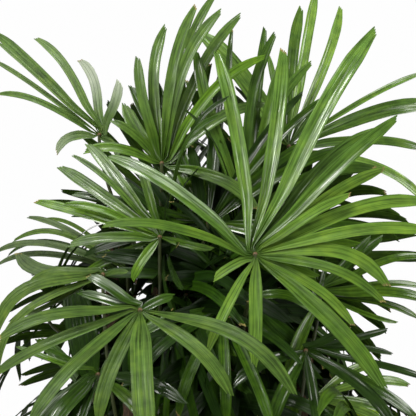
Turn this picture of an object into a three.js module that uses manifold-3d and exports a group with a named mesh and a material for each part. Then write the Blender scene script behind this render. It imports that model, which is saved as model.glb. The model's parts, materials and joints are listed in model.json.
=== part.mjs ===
// Lady palm (Rhapis excelsa): one clump of sheathed canes with fan leaves, rooted in the ground.
// Millimetres, +Z up, the front looks along -Y. The origin is on the ground under the middle of the clump.
import * as THREE from 'three';
import Module from 'manifold-3d';

const wasm = await Module();
wasm.setup();
const { Manifold, Mesh } = wasm;

const SEED = 1740;
const UP = new THREE.Vector3(0, 0, 1);

// Gaps: a petiole's foot off its cane, and the least between two leaves
const SEAT = 0.3;
const LEAST_SEAT = 0.15;
const LEAST_GAP = 0.45;
const LEAST_EDGE = 0.05;

// Root crown: a low mound with a lobe out to each cane, and the cane's flared foot on it
const CROWN_HEIGHT = 34;
const FLARE_RADIUS = 25;
const FLARE_SIDES = 8;
const MOUND_RADIUS = 70;
const LOBE_WIDTH = 0.36;
const LOBE_POINTS = 30;
const LOBE_LEVELS = [[0, 1], [9, 0.96], [19, 0.7]];

// Canes: bare below, wrapped in old leaf sheaths above, narrowing to the growing tip
const CANE_SIDES = 10;
const BARE_RADIUS = 8.5;
const SHEATH_RADIUS = 12;
const TIP_RADIUS = 6;
const SHEATH_FROM = 0.42;
const BEND_HEIGHT = 0.62;

// Petioles and the knobs that the blades spring from
const PETIOLE_SIDES = 5;
const PETIOLE_FOOT = 3.4;
const PETIOLE_END = 2.3;
const PETIOLE_AT = [0, 0.3, 0.65, 1];
const HUB_RADIUS = 7.5;
const HUB_RISE = 2.5;
const HUB_DEPTH = 6.5;

// Blades: a three-sided strip, flat above with a keel below. Every second one is lifted off its
// neighbours, and one that bends more has one more station.
const ROOT_WIDTH = 1.9;
const ROOT_KEEL = 1.4;
const ROOT_PITCH = 20;
const KEEL_SHARE = 0.0125;
const LEAST_KEEL = 2.2;
const STAGGER = 5;
const STRAIGHT = [[0.3, 0.72], [0.8, 1], [1, 0.42]];
const ARCHED = [[0.2, 0.52], [0.5, 0.93], [0.82, 1], [1, 0.42]];
const ARCHED_FROM = 0.09;
const BEND_PEAK = 0.264;
const WIDEST_NOTCH = 60;

// Each cane's foot on plan, and its top
const CANES = {
  middle: { foot: [-60, -34], top: [64, -60, 830] },
  left: { foot: [-66, 14], top: [-64, -10, 905] },
  far_left: { foot: [-112, 44], top: [-140, 84, 900] },
  back_right: { foot: [46, 50], top: [100, 90, 905] },
  right: { foot: [90, -4], top: [140, 0, 760] },
  front_left: { foot: [-86, -80], top: [-104, -140, 720] },
  back: { foot: [-12, 84], top: [30, 70, 880] },
  rear: { foot: [6, 140], top: [-10, 214, 830] },
  front_right: { foot: [66, -84], top: [128, -130, 600] },
  back_left: { foot: [-86, 112], top: [-160, 190, 660] },
};

// Leaves that give the crown its front. turn: the way the upper side faces, from the front to the
// right; tilt: how far it faces up. A blade's bearing is in the leaf's own plane, clockwise from its
// uphill line. Blades are listed as bearing, reach and, where they differ, arch, width and sweep,
// its bend to the right, or spread evenly over a fan of first bearing, last bearing, count and reach.
const LEAVES = {
  upper_left: {
    cane: 'left', at: 0.93, hub: [-150, 40, 1045], turn: -15, tilt: 20, width: 14, arch: 0.05,
    blades: [[-110, 65, 0.12, 14, 0.07], [-70, 159, 0.1, 9, -0.01], [-57, 214, 0.04, 7, -0.01],
      [-51, 208, 0.03, 6, -0.01], [-49, 243, 0.03], [-37, 170, 0.05, 12, 0.05],
      [-21, 120, 0.05, 14, 0.09], [17, 77, 0.05, 15, 0.1], [138, 42, 0.06, 9, -0.13]],
  },
  upper_middle: {
    cane: 'left', at: 1, hub: [-62, -30, 1010], turn: 0, tilt: 12, width: 14, arch: 0.05,
    blades: [[-80, 104, 0.1, 13, 0.02], [-49, 85, 0.05, 11, 0.02], [-32, 93, 0.03, 18, -0.06],
      [-13, 143, 0.04, 14, -0.05], [1, 189, 0.05, 15, -0.07], [12, 213, 0.05, 14, -0.04],
      [17, 249, 0.05, 12, -0.04], [21, 216, 0.05, 15, -0.06], [27, 231, 0.05, 14, -0.03],
      [44, 196, 0.08, 13, -0.03], [59, 159, 0.1, 15, -0.01], [116, 139, 0.1, 17, -0.02]],
  },
  upper_right: {
    cane: 'back_right', at: 0.93, hub: [113, 60, 1028], turn: 10, tilt: 15, width: 14, arch: 0.04,
    blades: [[-34, 200, 0.04, 26, 0.01], [-11, 130, 0.03, 9, -0.02], [9, 205, 0.04, 16, -0.03],
      [12, 223], [24, 224, 0.04, 14, 0.04], [43, 100, 0.04, 13], [62, 237, 0.04, 8],
      [73, 207, 0.05, 9, -0.02], [74, 218, 0.06, 14, 0.01], [93, 191, 0.08, 13, 0.01],
      [112, 214, 0.12, 13, 0.01]],
  },
  front: {
    cane: 'middle', at: 0.93, hub: [59, -190, 906], turn: 0, tilt: 25, width: 13, arch: 0.06,
    blades: [[-179, 137, 0.06, 17, -0.01], [-155, 138, 0.06, 13, -0.01], [-121, 59, 0.05, 12],
      [-80, 190, 0.06, 13, 0.02], [-53, 232, 0.05, 17, 0.01], [-10, 267, 0.04, 18, 0.01],
      [8, 294, 0.04, 19, 0.02], [28, 331, 0.04, 23, -0.01], [42, 238, 0.05, 15, -0.04],
      [46, 249, 0.05, 17, 0.01], [54, 204, 0.06, 15], [58, 139, 0.06, 13, 0.01],
      [71, 235, 0.06, 18, -0.03], [84, 220, 0.06, 16, -0.01], [102, 168, 0.15, 18, -0.03],
      [113, 169, 0.15, 13, 0.03], [126, 148, 0.1, 13, 0.01], [139, 229, 0.08, 21, 0.01]],
  },
  front_low: {
    cane: 'front_left', at: 0.93, hub: [-84, -220, 840], turn: -5, tilt: 35, width: 13, arch: 0.08,
    blades: [[-163, 146, 0.08, 19, 0.01], [-143, 196, 0.06, 17, 0.01], [-115, 194, 0.06, 15, -0.01],
      [-106, 174, 0.08, 16, 0.02], [-71, 82, 0.05, 13, -0.03], [-57, 78, 0.05, 14], [61, 43, 0.05],
      [121, 224, 0.14, 18, -0.02], [132, 154, 0.12, 18], [173, 175, 0.08, 27, 0.01]],
  },
  left: {
    cane: 'left', at: 0.8, hub: [-63, -100, 918], turn: -10, tilt: 20, width: 13, arch: 0.03,
    blades: [[-149, 64, 0.06], [-97, 116, 0.04, 14, 0.01], [-74, 181, 0.04, 13, -0.02],
      [-73, 134, 0.04, 10, 0.04], [-56, 173, 0.03, 16, -0.01], [-49, 161, 0.03, 8, 0.03],
      [-40, 168, 0.03, 16], [-18, 102, 0.03, 12], [101, 69, 0.06, 10, 0.07]],
  },
  middle_back: {
    cane: 'back', at: 0.93, hub: [51, -20, 939], turn: 0, tilt: 10, width: 14, arch: 0.03,
    blades: [[-23, 201, 0.03, 14, -0.01], [-17, 229, 0.03, 16, -0.04], [-4, 259, 0.02, 8, -0.04],
      [4, 245, 0.03, 14, -0.06], [6, 260, 0.03, 12], [13, 209], [23, 228, 0.03, 14, -0.07],
      [70, 180, 0.12, 18]],
  },
  left_back: {
    cane: 'far_left', at: 0.72, hub: [-110, 10, 861], turn: -20, tilt: 35, width: 10, arch: 0.12,
    blades: [[-88, 211, 0.12, 10, -0.02], [-87, 198], [-83, 198, 0.15, 8],
      [-80, 178, 0.12, 9, 0.05], [-68, 66, 0.08, 11, 0.02], [-67, 177, 0.05, 9, 0.02],
      [-62, 178, 0.08, 6, 0.03]],
  },
  left_low: {
    cane: 'front_left', at: 0.8, hub: [-138, -90, 868], turn: -25, tilt: 40, width: 9, arch: 0.22,
    blades: [[-141, 180, 0.22, 13, -0.04], [-133, 159, 0.2, 22, 0.02], [-123, 117, 0.1, 9, -0.16],
      [-107, 103, 0.15, 14, -0.02], [-78, 150, 0.03, 20, -0.13], [85, 36, 0.05]],
  },
  low_left: {
    cane: 'front_left', at: 0.66, hub: [-140, -170, 750], turn: -20, tilt: 35, width: 24, arch: 0.14,
    blades: [[-174, 110, 0.14, 22], [-160, 120], [-146, 120], [-77, 118, 0.02, 8, -0.03],
      [-68, 91, 0.03, 6], [95, 130, 0.1, 17], [130, 130, 0.14, 17]],
  },
  right: {
    cane: 'right', at: 0.93, hub: [149, -60, 837], turn: 15, tilt: 25, width: 7, arch: 0.03,
    blades: [[-169, 179, 0.04, 18, 0.12], [-29, 66, 0.04, 14], [-1, 44], [18, 46], [42, 60],
      [47, 106, 0.03, 14], [52, 132, 0.03, 12], [74, 159, 0.08, 11, -0.02],
      [87, 156, 0.08, 9, 0.01], [97, 148, 0.08, 15, 0.01], [104, 143, 0.08, 10, 0.01],
      [115, 109, 0.06, 7, 0.09]],
  },
  right_low: {
    cane: 'right', at: 0.78, hub: [127, -120, 772], turn: 10, tilt: 35, width: 17, arch: 0.1,
    blades: [[-150, 110, 0.1, 18], [-115, 110], [65, 120, 0.03, 10, 0.03], [67, 65, 0.03, 12],
      [92, 117, 0.03, 9, -0.03], [109, 160, 0.1, 11, 0.07], [124, 164, 0.12, 15, 0.08], [140, 150],
      [178, 99, 0.05, 14]],
  },
  low_right: {
    cane: 'front_right', at: 0.93, hub: [143, -60, 700], turn: 25, tilt: 35, width: 14, arch: 0.1,
    fan: [72, 165, 6, 150],
  },
  middle_low: {
    cane: 'middle', at: 0.8, hub: [18, -110, 823], turn: 0, tilt: 35, width: 15, arch: 0.1,
    blades: [[-158, 150], [-132, 140], [-108, 120], [100, 120, 0.1, 14], [125, 122, 0.08, 12],
      [160, 179, 0.03, 15, -0.01], [178, 150]],
  },
  young_left: {
    cane: 'left', at: 0.62, hub: [-154, -60, 702], turn: -10, tilt: 20, width: 18, arch: 0.05,
    blades: [[-48, 110], [-14, 145, 0.05, 42], [30, 120, 0.05, 20]],
  },
  young_right: {
    cane: 'right', at: 0.6, hub: [168, 0, 610], turn: 20, tilt: 30, width: 18, arch: 0.05,
    blades: [[2, 60], [50, 105, 0.05, 42], [84, 130]],
  },
};

// The other leaves follow a rule: hubs spread evenly over a shell round the canes, from the top down,
// kept further in behind the named leaves, and each on the nearest cane
const GOLDEN_TURN = 137.5;
const SHELL = { count: 42, high: 935, low: 560, middle: 740, half: 300, radius: 225, inner: 0.3 };
const KEPT_IN = [{ above: 820, within: 125 }, { above: 0, within: 80 }];
const LEAST_APART = 55;
const MOST_LEAVES = 53;
// Leaves of the rule left out where the plant is open, on the right
const OPEN = [15, 20];
const CLIMB = [60, 140];
const LEAF_AT = [0.45, 0.93];
const HABITS = [
  { above: 850, tilt: 18, heading: 15, swing: 35, spread: 225, droop: 0.05, arch: 0.07 },
  { above: 720, tilt: 32, heading: 85, swing: 40, spread: 255, droop: 0.12, arch: 0.11 },
  { above: 0, tilt: 40, heading: 175, swing: 30, spread: 275, droop: 0.2, arch: 0.14 },
];
const RULE_REACH = 250;
const RULE_WIDTH = 26;
const BLADES = [7.6, 11.4];
const RULE_SWEEP = 0.12;

// A blade that would touch another leaf turns, arches or shortens by these, or is left out, and a
// petiole bows to the side
const NUDGES = [[0, 1, 0], [5, 1, 0], [-5, 1, 0], [0, 1, 0.07], [10, 1, 0], [-10, 1, 0], [0, 1, -0.07],
  [6, 1, 0.12], [-6, 1, 0.12], [6, 0.8, 0.05], [-6, 0.8, 0.05], [0, 0.62, 0], [12, 0.62, 0.06],
  [-12, 0.62, 0.06], [0, 0.62, -0.1], [0, 0.4, 0], [10, 0.4, 0], [-10, 0.4, 0]];
const STEM_BOWS = [0, 0.14, -0.14, 0.28, -0.28, 0.42, -0.42];

const radians = THREE.MathUtils.degToRad;
const vector = (list) => new THREE.Vector3(...list);

let state = SEED;
function random(low, high) {
  state = (state * 48271) % 2147483647;
  return low + (high - low) * (state / 2147483647);
}

function solid(points, triangles) {
  const vertProperties = new Float32Array(points.flatMap((p) => [p.x, p.y, p.z]));
  return new Manifold(new Mesh({ numProp: 3, vertProperties, triVerts: new Uint32Array(triangles.flat()) }));
}

// The side faces over rows of n points
function sleeve(rows, n, first = 0) {
  const triangles = [];
  for (let i = 0; i + 1 < rows; i += 1) {
    for (let j = 0; j < n; j += 1) {
      const a = first + i * n + j;
      const b = first + i * n + ((j + 1) % n);
      triangles.push([a, b, b + n], [a, b + n, a + n]);
    }
  }
  return triangles;
}

// A closed skin over rings of equal length, each listed anticlockwise as seen from the far end
function loft(rings) {
  const n = rings[0].length;
  const triangles = sleeve(rings.length, n);
  const last = (rings.length - 1) * n;
  for (let j = 1; j + 1 < n; j += 1) {
    triangles.push([0, j + 1, j], [last, last + j, last + j + 1]);
  }
  return solid(rings.flat(), triangles);
}

function ring(centre, along, radius, sides) {
  const across = new THREE.Vector3(1, 0, 0).addScaledVector(along, -along.x).normalize();
  const other = along.clone().cross(across);
  return Array.from({ length: sides }, (_, j) => {
    const a = (2 * Math.PI * j) / sides;
    return centre.clone().addScaledVector(across, radius * Math.cos(a))
      .addScaledVector(other, radius * Math.sin(a));
  });
}

// Canes rise upright, then lean to where their tops are
function caneLine(cane) {
  const foot = vector([...cane.foot, CROWN_HEIGHT + SEAT]);
  const top = vector(cane.top);
  const bend = new THREE.Vector3(foot.x, foot.y, top.z * BEND_HEIGHT);
  return new THREE.QuadraticBezierCurve3(foot, bend, top);
}

function caneRadius(t) {
  const wrapped = THREE.MathUtils.smoothstep(t, SHEATH_FROM - 0.1, SHEATH_FROM + 0.08);
  const body = BARE_RADIUS + (SHEATH_RADIUS - BARE_RADIUS) * wrapped;
  return body + (TIP_RADIUS - body) * THREE.MathUtils.smoothstep(t, 0.84, 1);
}

function caneSolid(cane) {
  const line = caneLine(cane);
  const stations = [0, SHEATH_FROM - 0.1, SHEATH_FROM + 0.08, 0.68, 0.86, 1];
  return loft(stations.map((t) => ring(line.getPoint(t), line.getTangent(t), caneRadius(t), CANE_SIDES)));
}

// How far the root crown reaches at an angle on plan: a lobe out to each cane's foot
function lobeRadius(angle) {
  const lobes = Object.values(CANES).map(({ foot: [x, y] }) => {
    const off = Math.atan2(Math.sin(angle - Math.atan2(y, x)), Math.cos(angle - Math.atan2(y, x)));
    return (Math.hypot(x, y) + FLARE_RADIUS) * Math.exp(-((off / LOBE_WIDTH) ** 2));
  });
  return Math.max(MOUND_RADIUS, ...lobes);
}

function rootCrown() {
  const outline = Array.from({ length: LOBE_POINTS }, (_, i) => (2 * Math.PI * (i + 0.37)) / LOBE_POINTS);
  const levels = LOBE_LEVELS.map(([z, share]) => outline.map((a) => (
    new THREE.Vector3(Math.cos(a), Math.sin(a), 0).multiplyScalar(share * lobeRadius(a)).setZ(z))));
  const triangles = sleeve(levels.length, LOBE_POINTS);
  const upper = (levels.length - 1) * LOBE_POINTS;
  const below = levels.length * LOBE_POINTS;
  outline.forEach((_, j) => {
    const next = (j + 1) % LOBE_POINTS;
    triangles.push([below, next, j], [below + 1, upper + j, upper + next]);
  });
  const top = UP.clone().multiplyScalar(levels[levels.length - 1][0].z);
  const mound = solid([...levels.flat(), new THREE.Vector3(), top], triangles);
  const collars = Object.values(CANES).map(({ foot: [x, y] }) => loft(
    [[3, 0.8 * FLARE_RADIUS], [CROWN_HEIGHT, BARE_RADIUS + 1.5]].map(
      ([z, r]) => ring(new THREE.Vector3(x, y, z), UP, r, FLARE_SIDES),
    ),
  ));
  return fused([mound, ...collars]);
}

// The leaf's own axes: normal out of its upper side, uphill in its plane, and right as seen from above
function leafAxes(turn, tilt) {
  const level = Math.cos(radians(tilt));
  const normal = new THREE.Vector3(
    Math.sin(radians(turn)) * level, -Math.cos(radians(turn)) * level, Math.sin(radians(tilt)),
  );
  const uphill = UP.clone().addScaledVector(normal, -normal.z).normalize();
  return { normal, uphill, right: uphill.clone().cross(normal) };
}

// A blade springs from the hub's rim, runs along its bearing, bows up and outward, sweeps to the side,
// and ends at its reach
function bladeRings(leaf, blade, nudge) {
  const { normal, uphill, right } = leafAxes(leaf.turn, leaf.tilt);
  const hub = vector(leaf.hub);
  const inPlane = (degrees) => uphill.clone().multiplyScalar(Math.cos(radians(degrees)))
    .addScaledVector(right, Math.sin(radians(degrees)));
  const reach = blade.reach * nudge[1];
  const chord = inPlane(blade.bearing + nudge[0]).addScaledVector(UP, -(leaf.droop ?? 0))
    .addScaledVector(normal, Math.tan(radians(blade.lift))).normalize();
  const bow = UP.clone().addScaledVector(normal, 0.6);
  bow.addScaledVector(chord, -bow.dot(chord)).normalize();
  const bend = bow.multiplyScalar(blade.arch + nudge[2])
    .addScaledVector(chord.clone().cross(normal).normalize(), blade.sweep);
  const at = (t) => hub.clone().addScaledVector(chord, reach * t)
    .addScaledVector(bend, (reach * t * (1 - t) * (0.5 + t)) / BEND_PEAK);
  const section = (centre, along, width, keel, cut) => {
    const across = normal.clone().cross(along).normalize();
    return [
      centre.clone().addScaledVector(across, 0.5 * width).addScaledVector(along, cut),
      centre.clone().addScaledVector(across, -0.5 * width),
      centre.clone().addScaledVector(across.cross(along), keel),
    ];
  };
  const keel = Math.max(LEAST_KEEL, KEEL_SHARE * reach);
  const root = inPlane(blade.root);
  const rings = [section(hub.clone().addScaledVector(root, HUB_RADIUS), root, ROOT_WIDTH, ROOT_KEEL, 0)];
  for (const [t, wide] of Math.hypot(blade.arch, blade.sweep) > ARCHED_FROM ? ARCHED : STRAIGHT) {
    const along = at(Math.min(1, t + 0.02)).sub(at(t - 0.02)).normalize();
    rings.push(section(at(t), along, blade.width * wide, keel, t === 1 ? 0.5 * blade.width : 0));
  }
  return rings;
}

// The hub and its blades as one skin: a low double cone with a blade out of each notch in its rim
function fanSolid(leaf, blades) {
  const { normal, uphill, right } = leafAxes(leaf.turn, leaf.tilt);
  const hub = vector(leaf.hub);
  const points = [HUB_RISE, -HUB_DEPTH].map((h) => hub.clone().addScaledVector(normal, h));
  const triangles = [];
  const upper = [];
  const lower = [];
  if (!blades.length) {
    return loft([-HUB_DEPTH, 0, HUB_RISE].map((h) => ring(
      hub.clone().addScaledVector(normal, h), normal, h ? 1 : HUB_RADIUS, 6,
    )));
  }
  blades.forEach(({ root, rings }, i) => {
    const first = points.length;
    points.push(...rings.flat());
    triangles.push(...sleeve(rings.length, 3, first));
    const last = first + 3 * (rings.length - 1);
    triangles.push([last, last + 1, last + 2]);
    upper.push(first, first + 1);
    lower.push(first, first + 2, first + 1);
    const next = i + 1 < blades.length ? blades[i + 1].root : blades[0].root + 360;
    const spare = Math.ceil((next - root) / WIDEST_NOTCH) - 1;
    for (let k = 1; k <= spare; k += 1) {
      const a = radians(root + ((next - root) * k) / (spare + 1));
      upper.push(points.length);
      lower.push(points.length);
      points.push(hub.clone().addScaledVector(uphill, HUB_RADIUS * Math.cos(a))
        .addScaledVector(right, HUB_RADIUS * Math.sin(a)));
    }
  });
  upper.forEach((a, i) => triangles.push([0, upper[(i + 1) % upper.length], a]));
  lower.forEach((a, i) => triangles.push([1, a, lower[(i + 1) % lower.length]]));
  return solid(points, triangles);
}

// From the cane's side, or from its tip, a little clear of it, up and over into the hub
function petioleSolid(leaf, bow, inward) {
  const line = caneLine(CANES[leaf.cane]);
  const axis = line.getPoint(leaf.at);
  const rise = line.getTangent(leaf.at);
  const hub = vector(leaf.hub);
  const out = hub.clone().sub(axis);
  out.addScaledVector(rise, -out.dot(rise)).normalize();
  const onTip = leaf.at === 1;
  const start = onTip ? rise.clone() : rise.clone().add(out).normalize();
  const foot = onTip ? axis.clone().addScaledVector(rise, SEAT - inward)
    : axis.clone().addScaledVector(out, caneRadius(leaf.at) + SEAT + PETIOLE_FOOT * 0.7 - inward);
  const length = foot.distanceTo(hub);
  const side = out.clone().cross(rise);
  const curve = new THREE.CubicBezierCurve3(
    foot,
    foot.clone().addScaledVector(start, 0.4 * length).addScaledVector(side, bow * length),
    hub.clone().addScaledVector(UP, -0.25 * length).addScaledVector(side, bow * length),
    hub,
  );
  return loft(PETIOLE_AT.map((t) => ring(
    curve.getPoint(t),
    t ? curve.getTangent(t) : start,
    THREE.MathUtils.lerp(PETIOLE_FOOT, PETIOLE_END, Math.min(1, 2 * t)),
    PETIOLE_SIDES,
  )));
}

// The petiole with its foot moved in until it stands its seat's gap off the cane
function seatedPetiole(leaf, bow) {
  const cane = placed.find(({ owner }) => owner === `cane_${leaf.cane}`).body;
  const gap = petioleSolid(leaf, bow, 0).minGap(cane, 4);
  return petioleSolid(leaf, bow, gap - SEAT);
}

// The cane that runs closest to a hub, and how far along it the leaf grows
function nearestCane(hub, climb) {
  const found = Object.entries(CANES).map(([name, cane]) => {
    const line = caneLine(cane);
    const share = (hub.z - climb) / cane.top[2];
    const at = THREE.MathUtils.clamp(share, ...LEAF_AT);
    return { name, at, distance: line.getPoint(at).distanceTo(hub) };
  });
  return found.reduce((best, one) => (one.distance < best.distance ? one : best));
}

// A leaf of the rule, in the same form as the named ones
function ruleLeaf(index) {
  const share = (index + 0.5) / SHELL.count;
  const height = THREE.MathUtils.lerp(SHELL.high, SHELL.low, share);
  const turn = ((index * GOLDEN_TURN + 180) % 360) - 180;
  const across = (height - SHELL.middle) / SHELL.half;
  const { within } = KEPT_IN.find((zone) => height > zone.above);
  const depth = Math.abs(turn) < within ? SHELL.inner : 1;
  const out = SHELL.radius * Math.sqrt(1 - 0.7 * across * across) * depth * random(0.8, 1.1);
  const hub = new THREE.Vector3(Math.sin(radians(turn)) * out, -Math.cos(radians(turn)) * out, height);
  const { name, at } = nearestCane(hub, random(...CLIMB));
  const habit = HABITS.find((one) => height > one.above);
  const side = random(-1, 1) < 0 ? -1 : 1;
  const heading = side * habit.heading + random(-habit.swing, habit.swing);
  const size = random(0.85, 1.15);
  const count = Math.round(random(...BLADES));
  const blades = Array.from({ length: count }, (_, i) => {
    const off = i / (count - 1) - 0.5;
    return {
      bearing: heading + habit.spread * off + random(-4, 4),
      reach: RULE_REACH * size * (1 - 0.9 * off * off) * random(0.9, 1.08),
      arch: habit.arch * random(0.6, 1.5),
      width: RULE_WIDTH * size * random(0.75, 1.15),
      sweep: RULE_SWEEP * off,
    };
  });
  return {
    name: `leaf_${index + 1}`,
    cane: name,
    at,
    hub: hub.toArray(),
    turn: turn + random(-25, 25),
    tilt: habit.tilt + random(-10, 10),
    droop: habit.droop,
    blades,
  };
}

// Blades in the order of their bearings, their roots evenly round the rim
function withRoots(leaf) {
  const blades = leaf.blades.toSorted((a, b) => a.bearing - b.bearing);
  const first = blades[0].bearing;
  const last = blades[blades.length - 1].bearing;
  const spread = Math.max(last - first, ROOT_PITCH * (blades.length - 1));
  return {
    ...leaf,
    blades: blades.map((blade, i) => ({
      ...blade,
      root: (first + last) / 2 + spread * (i / Math.max(1, blades.length - 1) - 0.5),
      lift: i % 2 ? STAGGER : -STAGGER,
    })),
  };
}

function namedLeaf([name, leaf]) {
  const spread = ([first, last, count, reach]) => Array.from({ length: count }, (_, i) => (
    [first + ((last - first) * i) / (count - 1), reach * random(0.85, 1.05), leaf.arch * random(0.8, 1.2)]));
  const blades = (leaf.blades ?? spread(leaf.fan)).map(([bearing, reach, arch, width, sweep]) => ({
    bearing,
    reach,
    arch: arch ?? leaf.arch,
    width: width ?? leaf.width,
    sweep: sweep ?? 0,
  }));
  return { ...leaf, name: `leaf_${name}`, blades };
}

function allLeaves() {
  const leaves = Object.entries(LEAVES).map(namedLeaf);
  for (let i = 0; i < SHELL.count; i += 1) {
    const leaf = ruleLeaf(i);
    const hub = vector(leaf.hub);
    const apart = leaves.every((other) => vector(other.hub).distanceTo(hub) > LEAST_APART);
    if (apart && leaves.length < MOST_LEAVES && !OPEN.includes(i + 1)) {
      leaves.push(leaf);
    }
  }
  return leaves.map(withRoots);
}

const placed = [];

function isFree(candidate, owner, cane) {
  const box = candidate.boundingBox();
  return placed.every((other) => {
    if (other.owner === owner) {
      return true;
    }
    const gap = other.owner === cane ? LEAST_SEAT : LEAST_GAP;
    const { min, max } = other.box;
    const apart = [0, 1, 2].some((k) => box.min[k] > max[k] + gap || box.max[k] < min[k] - gap);
    return apart || candidate.minGap(other.body, 2 * gap) > gap;
  });
}

function place(body, owner) {
  placed.push({ body, owner, box: body.boundingBox() });
}

// The parts as one skin, with slivers closed up and sealed hollows filled
function fused(parts) {
  const pieces = Manifold.union(parts).simplify(LEAST_EDGE).decompose();
  return pieces.reduce((best, piece) => (piece.volume() > best.volume() ? piece : best));
}

const group = new THREE.Group();
group.name = 'lady_palm';

function add(name, body, colour, roughness) {
  const { vertProperties, triVerts } = body.getMesh();
  const geometry = new THREE.BufferGeometry();
  geometry.setAttribute('position', new THREE.BufferAttribute(vertProperties, 3));
  geometry.setIndex(new THREE.BufferAttribute(triVerts, 1));
  const material = new THREE.MeshStandardMaterial({ color: colour, roughness, metalness: 0 });
  const mesh = new THREE.Mesh(geometry, material);
  mesh.name = name;
  group.add(mesh);
}

function build() {
  const crown = rootCrown();
  place(crown, 'root_crown');
  add('root_crown', crown, 0x5a4330, 0.95);
  for (const [name, cane] of Object.entries(CANES)) {
    const body = caneSolid(cane);
    place(body, `cane_${name}`);
    add(`cane_${name}`, body, 0x4a3424, 0.9);
  }
  const leaves = allLeaves();
  const stems = leaves.map((leaf) => {
    const knob = fanSolid({ ...leaf, droop: 0 }, []);
    const bow = isFree(knob, leaf.name)
      ? STEM_BOWS.find((b) => isFree(seatedPetiole(leaf, b), leaf.name, `cane_${leaf.cane}`)) : undefined;
    if (bow === undefined) {
      return undefined;
    }
    const stem = seatedPetiole(leaf, bow);
    place(knob, leaf.name);
    place(stem, leaf.name);
    return stem;
  });
  leaves.forEach((leaf, i) => {
    if (!stems[i]) {
      return;
    }
    const blades = [];
    for (const blade of leaf.blades) {
      const nudge = NUDGES.find((n) => isFree(loft(bladeRings(leaf, blade, n)), leaf.name));
      if (nudge) {
        const rings = bladeRings(leaf, blade, nudge);
        place(loft(rings), leaf.name);
        blades.push({ root: blade.root, rings });
      }
    }
    add(leaf.name, fused([fanSolid(leaf, blades), stems[i]]), 0x3f6b2c, 0.45);
  });
}

build();

export default group;
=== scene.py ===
import json
import math

import bpy
import numpy as np
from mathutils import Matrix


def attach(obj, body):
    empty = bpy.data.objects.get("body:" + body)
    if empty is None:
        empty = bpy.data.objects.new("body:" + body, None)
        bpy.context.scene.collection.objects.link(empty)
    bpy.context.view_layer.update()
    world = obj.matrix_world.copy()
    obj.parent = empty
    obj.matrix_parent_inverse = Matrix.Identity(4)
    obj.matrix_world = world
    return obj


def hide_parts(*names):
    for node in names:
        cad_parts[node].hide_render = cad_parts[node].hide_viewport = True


bl_info = {
    "name": "Lady palm",
    "version": (1, 0, 0),
    "blender": (4, 5, 0),
    "location": "3D View > Sidebar > Lady palm",
    "description": "Builds a lady palm's canes, sheath fibre and pleated fan leaves over its solids",
    "category": "Add Mesh",
}

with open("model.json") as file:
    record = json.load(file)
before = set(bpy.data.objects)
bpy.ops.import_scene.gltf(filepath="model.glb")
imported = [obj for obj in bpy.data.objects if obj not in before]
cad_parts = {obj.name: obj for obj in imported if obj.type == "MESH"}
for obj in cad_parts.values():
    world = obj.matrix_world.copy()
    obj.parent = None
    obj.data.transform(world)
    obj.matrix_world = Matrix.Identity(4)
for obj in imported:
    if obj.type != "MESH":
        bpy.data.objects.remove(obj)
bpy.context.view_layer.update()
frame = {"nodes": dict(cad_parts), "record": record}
NODE_SLOTS = {row["node"]: row["material_slot"] for row in frame["record"]["subparts"]}

MM = 0.001
UP = np.array([0.0, 0.0, 1.0])

# Seeds: the source's rule, and the finer detail that only this file draws, with each kind of piece apart
RULE_SEED = 1740
DETAIL_SEED = 4099
CANE_DRAWS = 500
INNER_DRAWS = 700
CROWN_DRAWS = 900

# Root crown and canes, as in the source: millimetres, radians for a lobe, and shares of a cane
SEAT = 0.3
CROWN_HEIGHT = 34
FLARE_RADIUS = 25
MOUND_RADIUS = 70
LOBE_WIDTH = 0.36
BARE_RADIUS = 8.5
SHEATH_RADIUS = 12
TIP_RADIUS = 6
SHEATH_FROM = 0.42
SHEATH_EDGE = (-0.1, 0.08)
TIP_FROM = 0.84
BEND_HEIGHT = 0.62
# Each cane's foot on plan, and its top
CANES = {
    "middle": ((-60, -34), (64, -60, 830)),
    "left": ((-66, 14), (-64, -10, 905)),
    "far_left": ((-112, 44), (-140, 84, 900)),
    "back_right": ((46, 50), (100, 90, 905)),
    "right": ((90, -4), (140, 0, 760)),
    "front_left": ((-86, -80), (-104, -140, 720)),
    "back": ((-12, 84), (30, 70, 880)),
    "rear": ((6, 140), (-10, 214, 830)),
    "front_right": ((66, -84), (128, -130, 600)),
    "back_left": ((-86, 112), (-160, 190, 660)),
}

# Petioles and the knobs that the blades spring from, as in the source
PETIOLE_FOOT = 3.4
PETIOLE_END = 2.3
HUB_RADIUS = 7.5
# How much of its foot a petiole shows off the cane, and how far it goes on straight, as shares of its length
FOOT_SHOWS = 0.7
LEAVES_STRAIGHT = 0.4
ENTERS_STRAIGHT = 0.25

# Blades, as in the source: the least angle between two roots, the keel, and the lift of every second one.
# A ring of the source's strip is its share of the length and its share of the width.
ROOT_PITCH = 20
KEEL_SHARE = 0.0125
LEAST_KEEL = 2.2
STAGGER = 5
STRAIGHT = [(0.3, 0.72), (0.8, 1), (1, 0.42)]
ARCHED = [(0.2, 0.52), (0.5, 0.93), (0.82, 1), (1, 0.42)]
ARCHED_FROM = 0.09
BEND_PEAK = 0.264
BOW_OUTWARD = 0.6
SLOPE_STEP = 0.02

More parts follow.
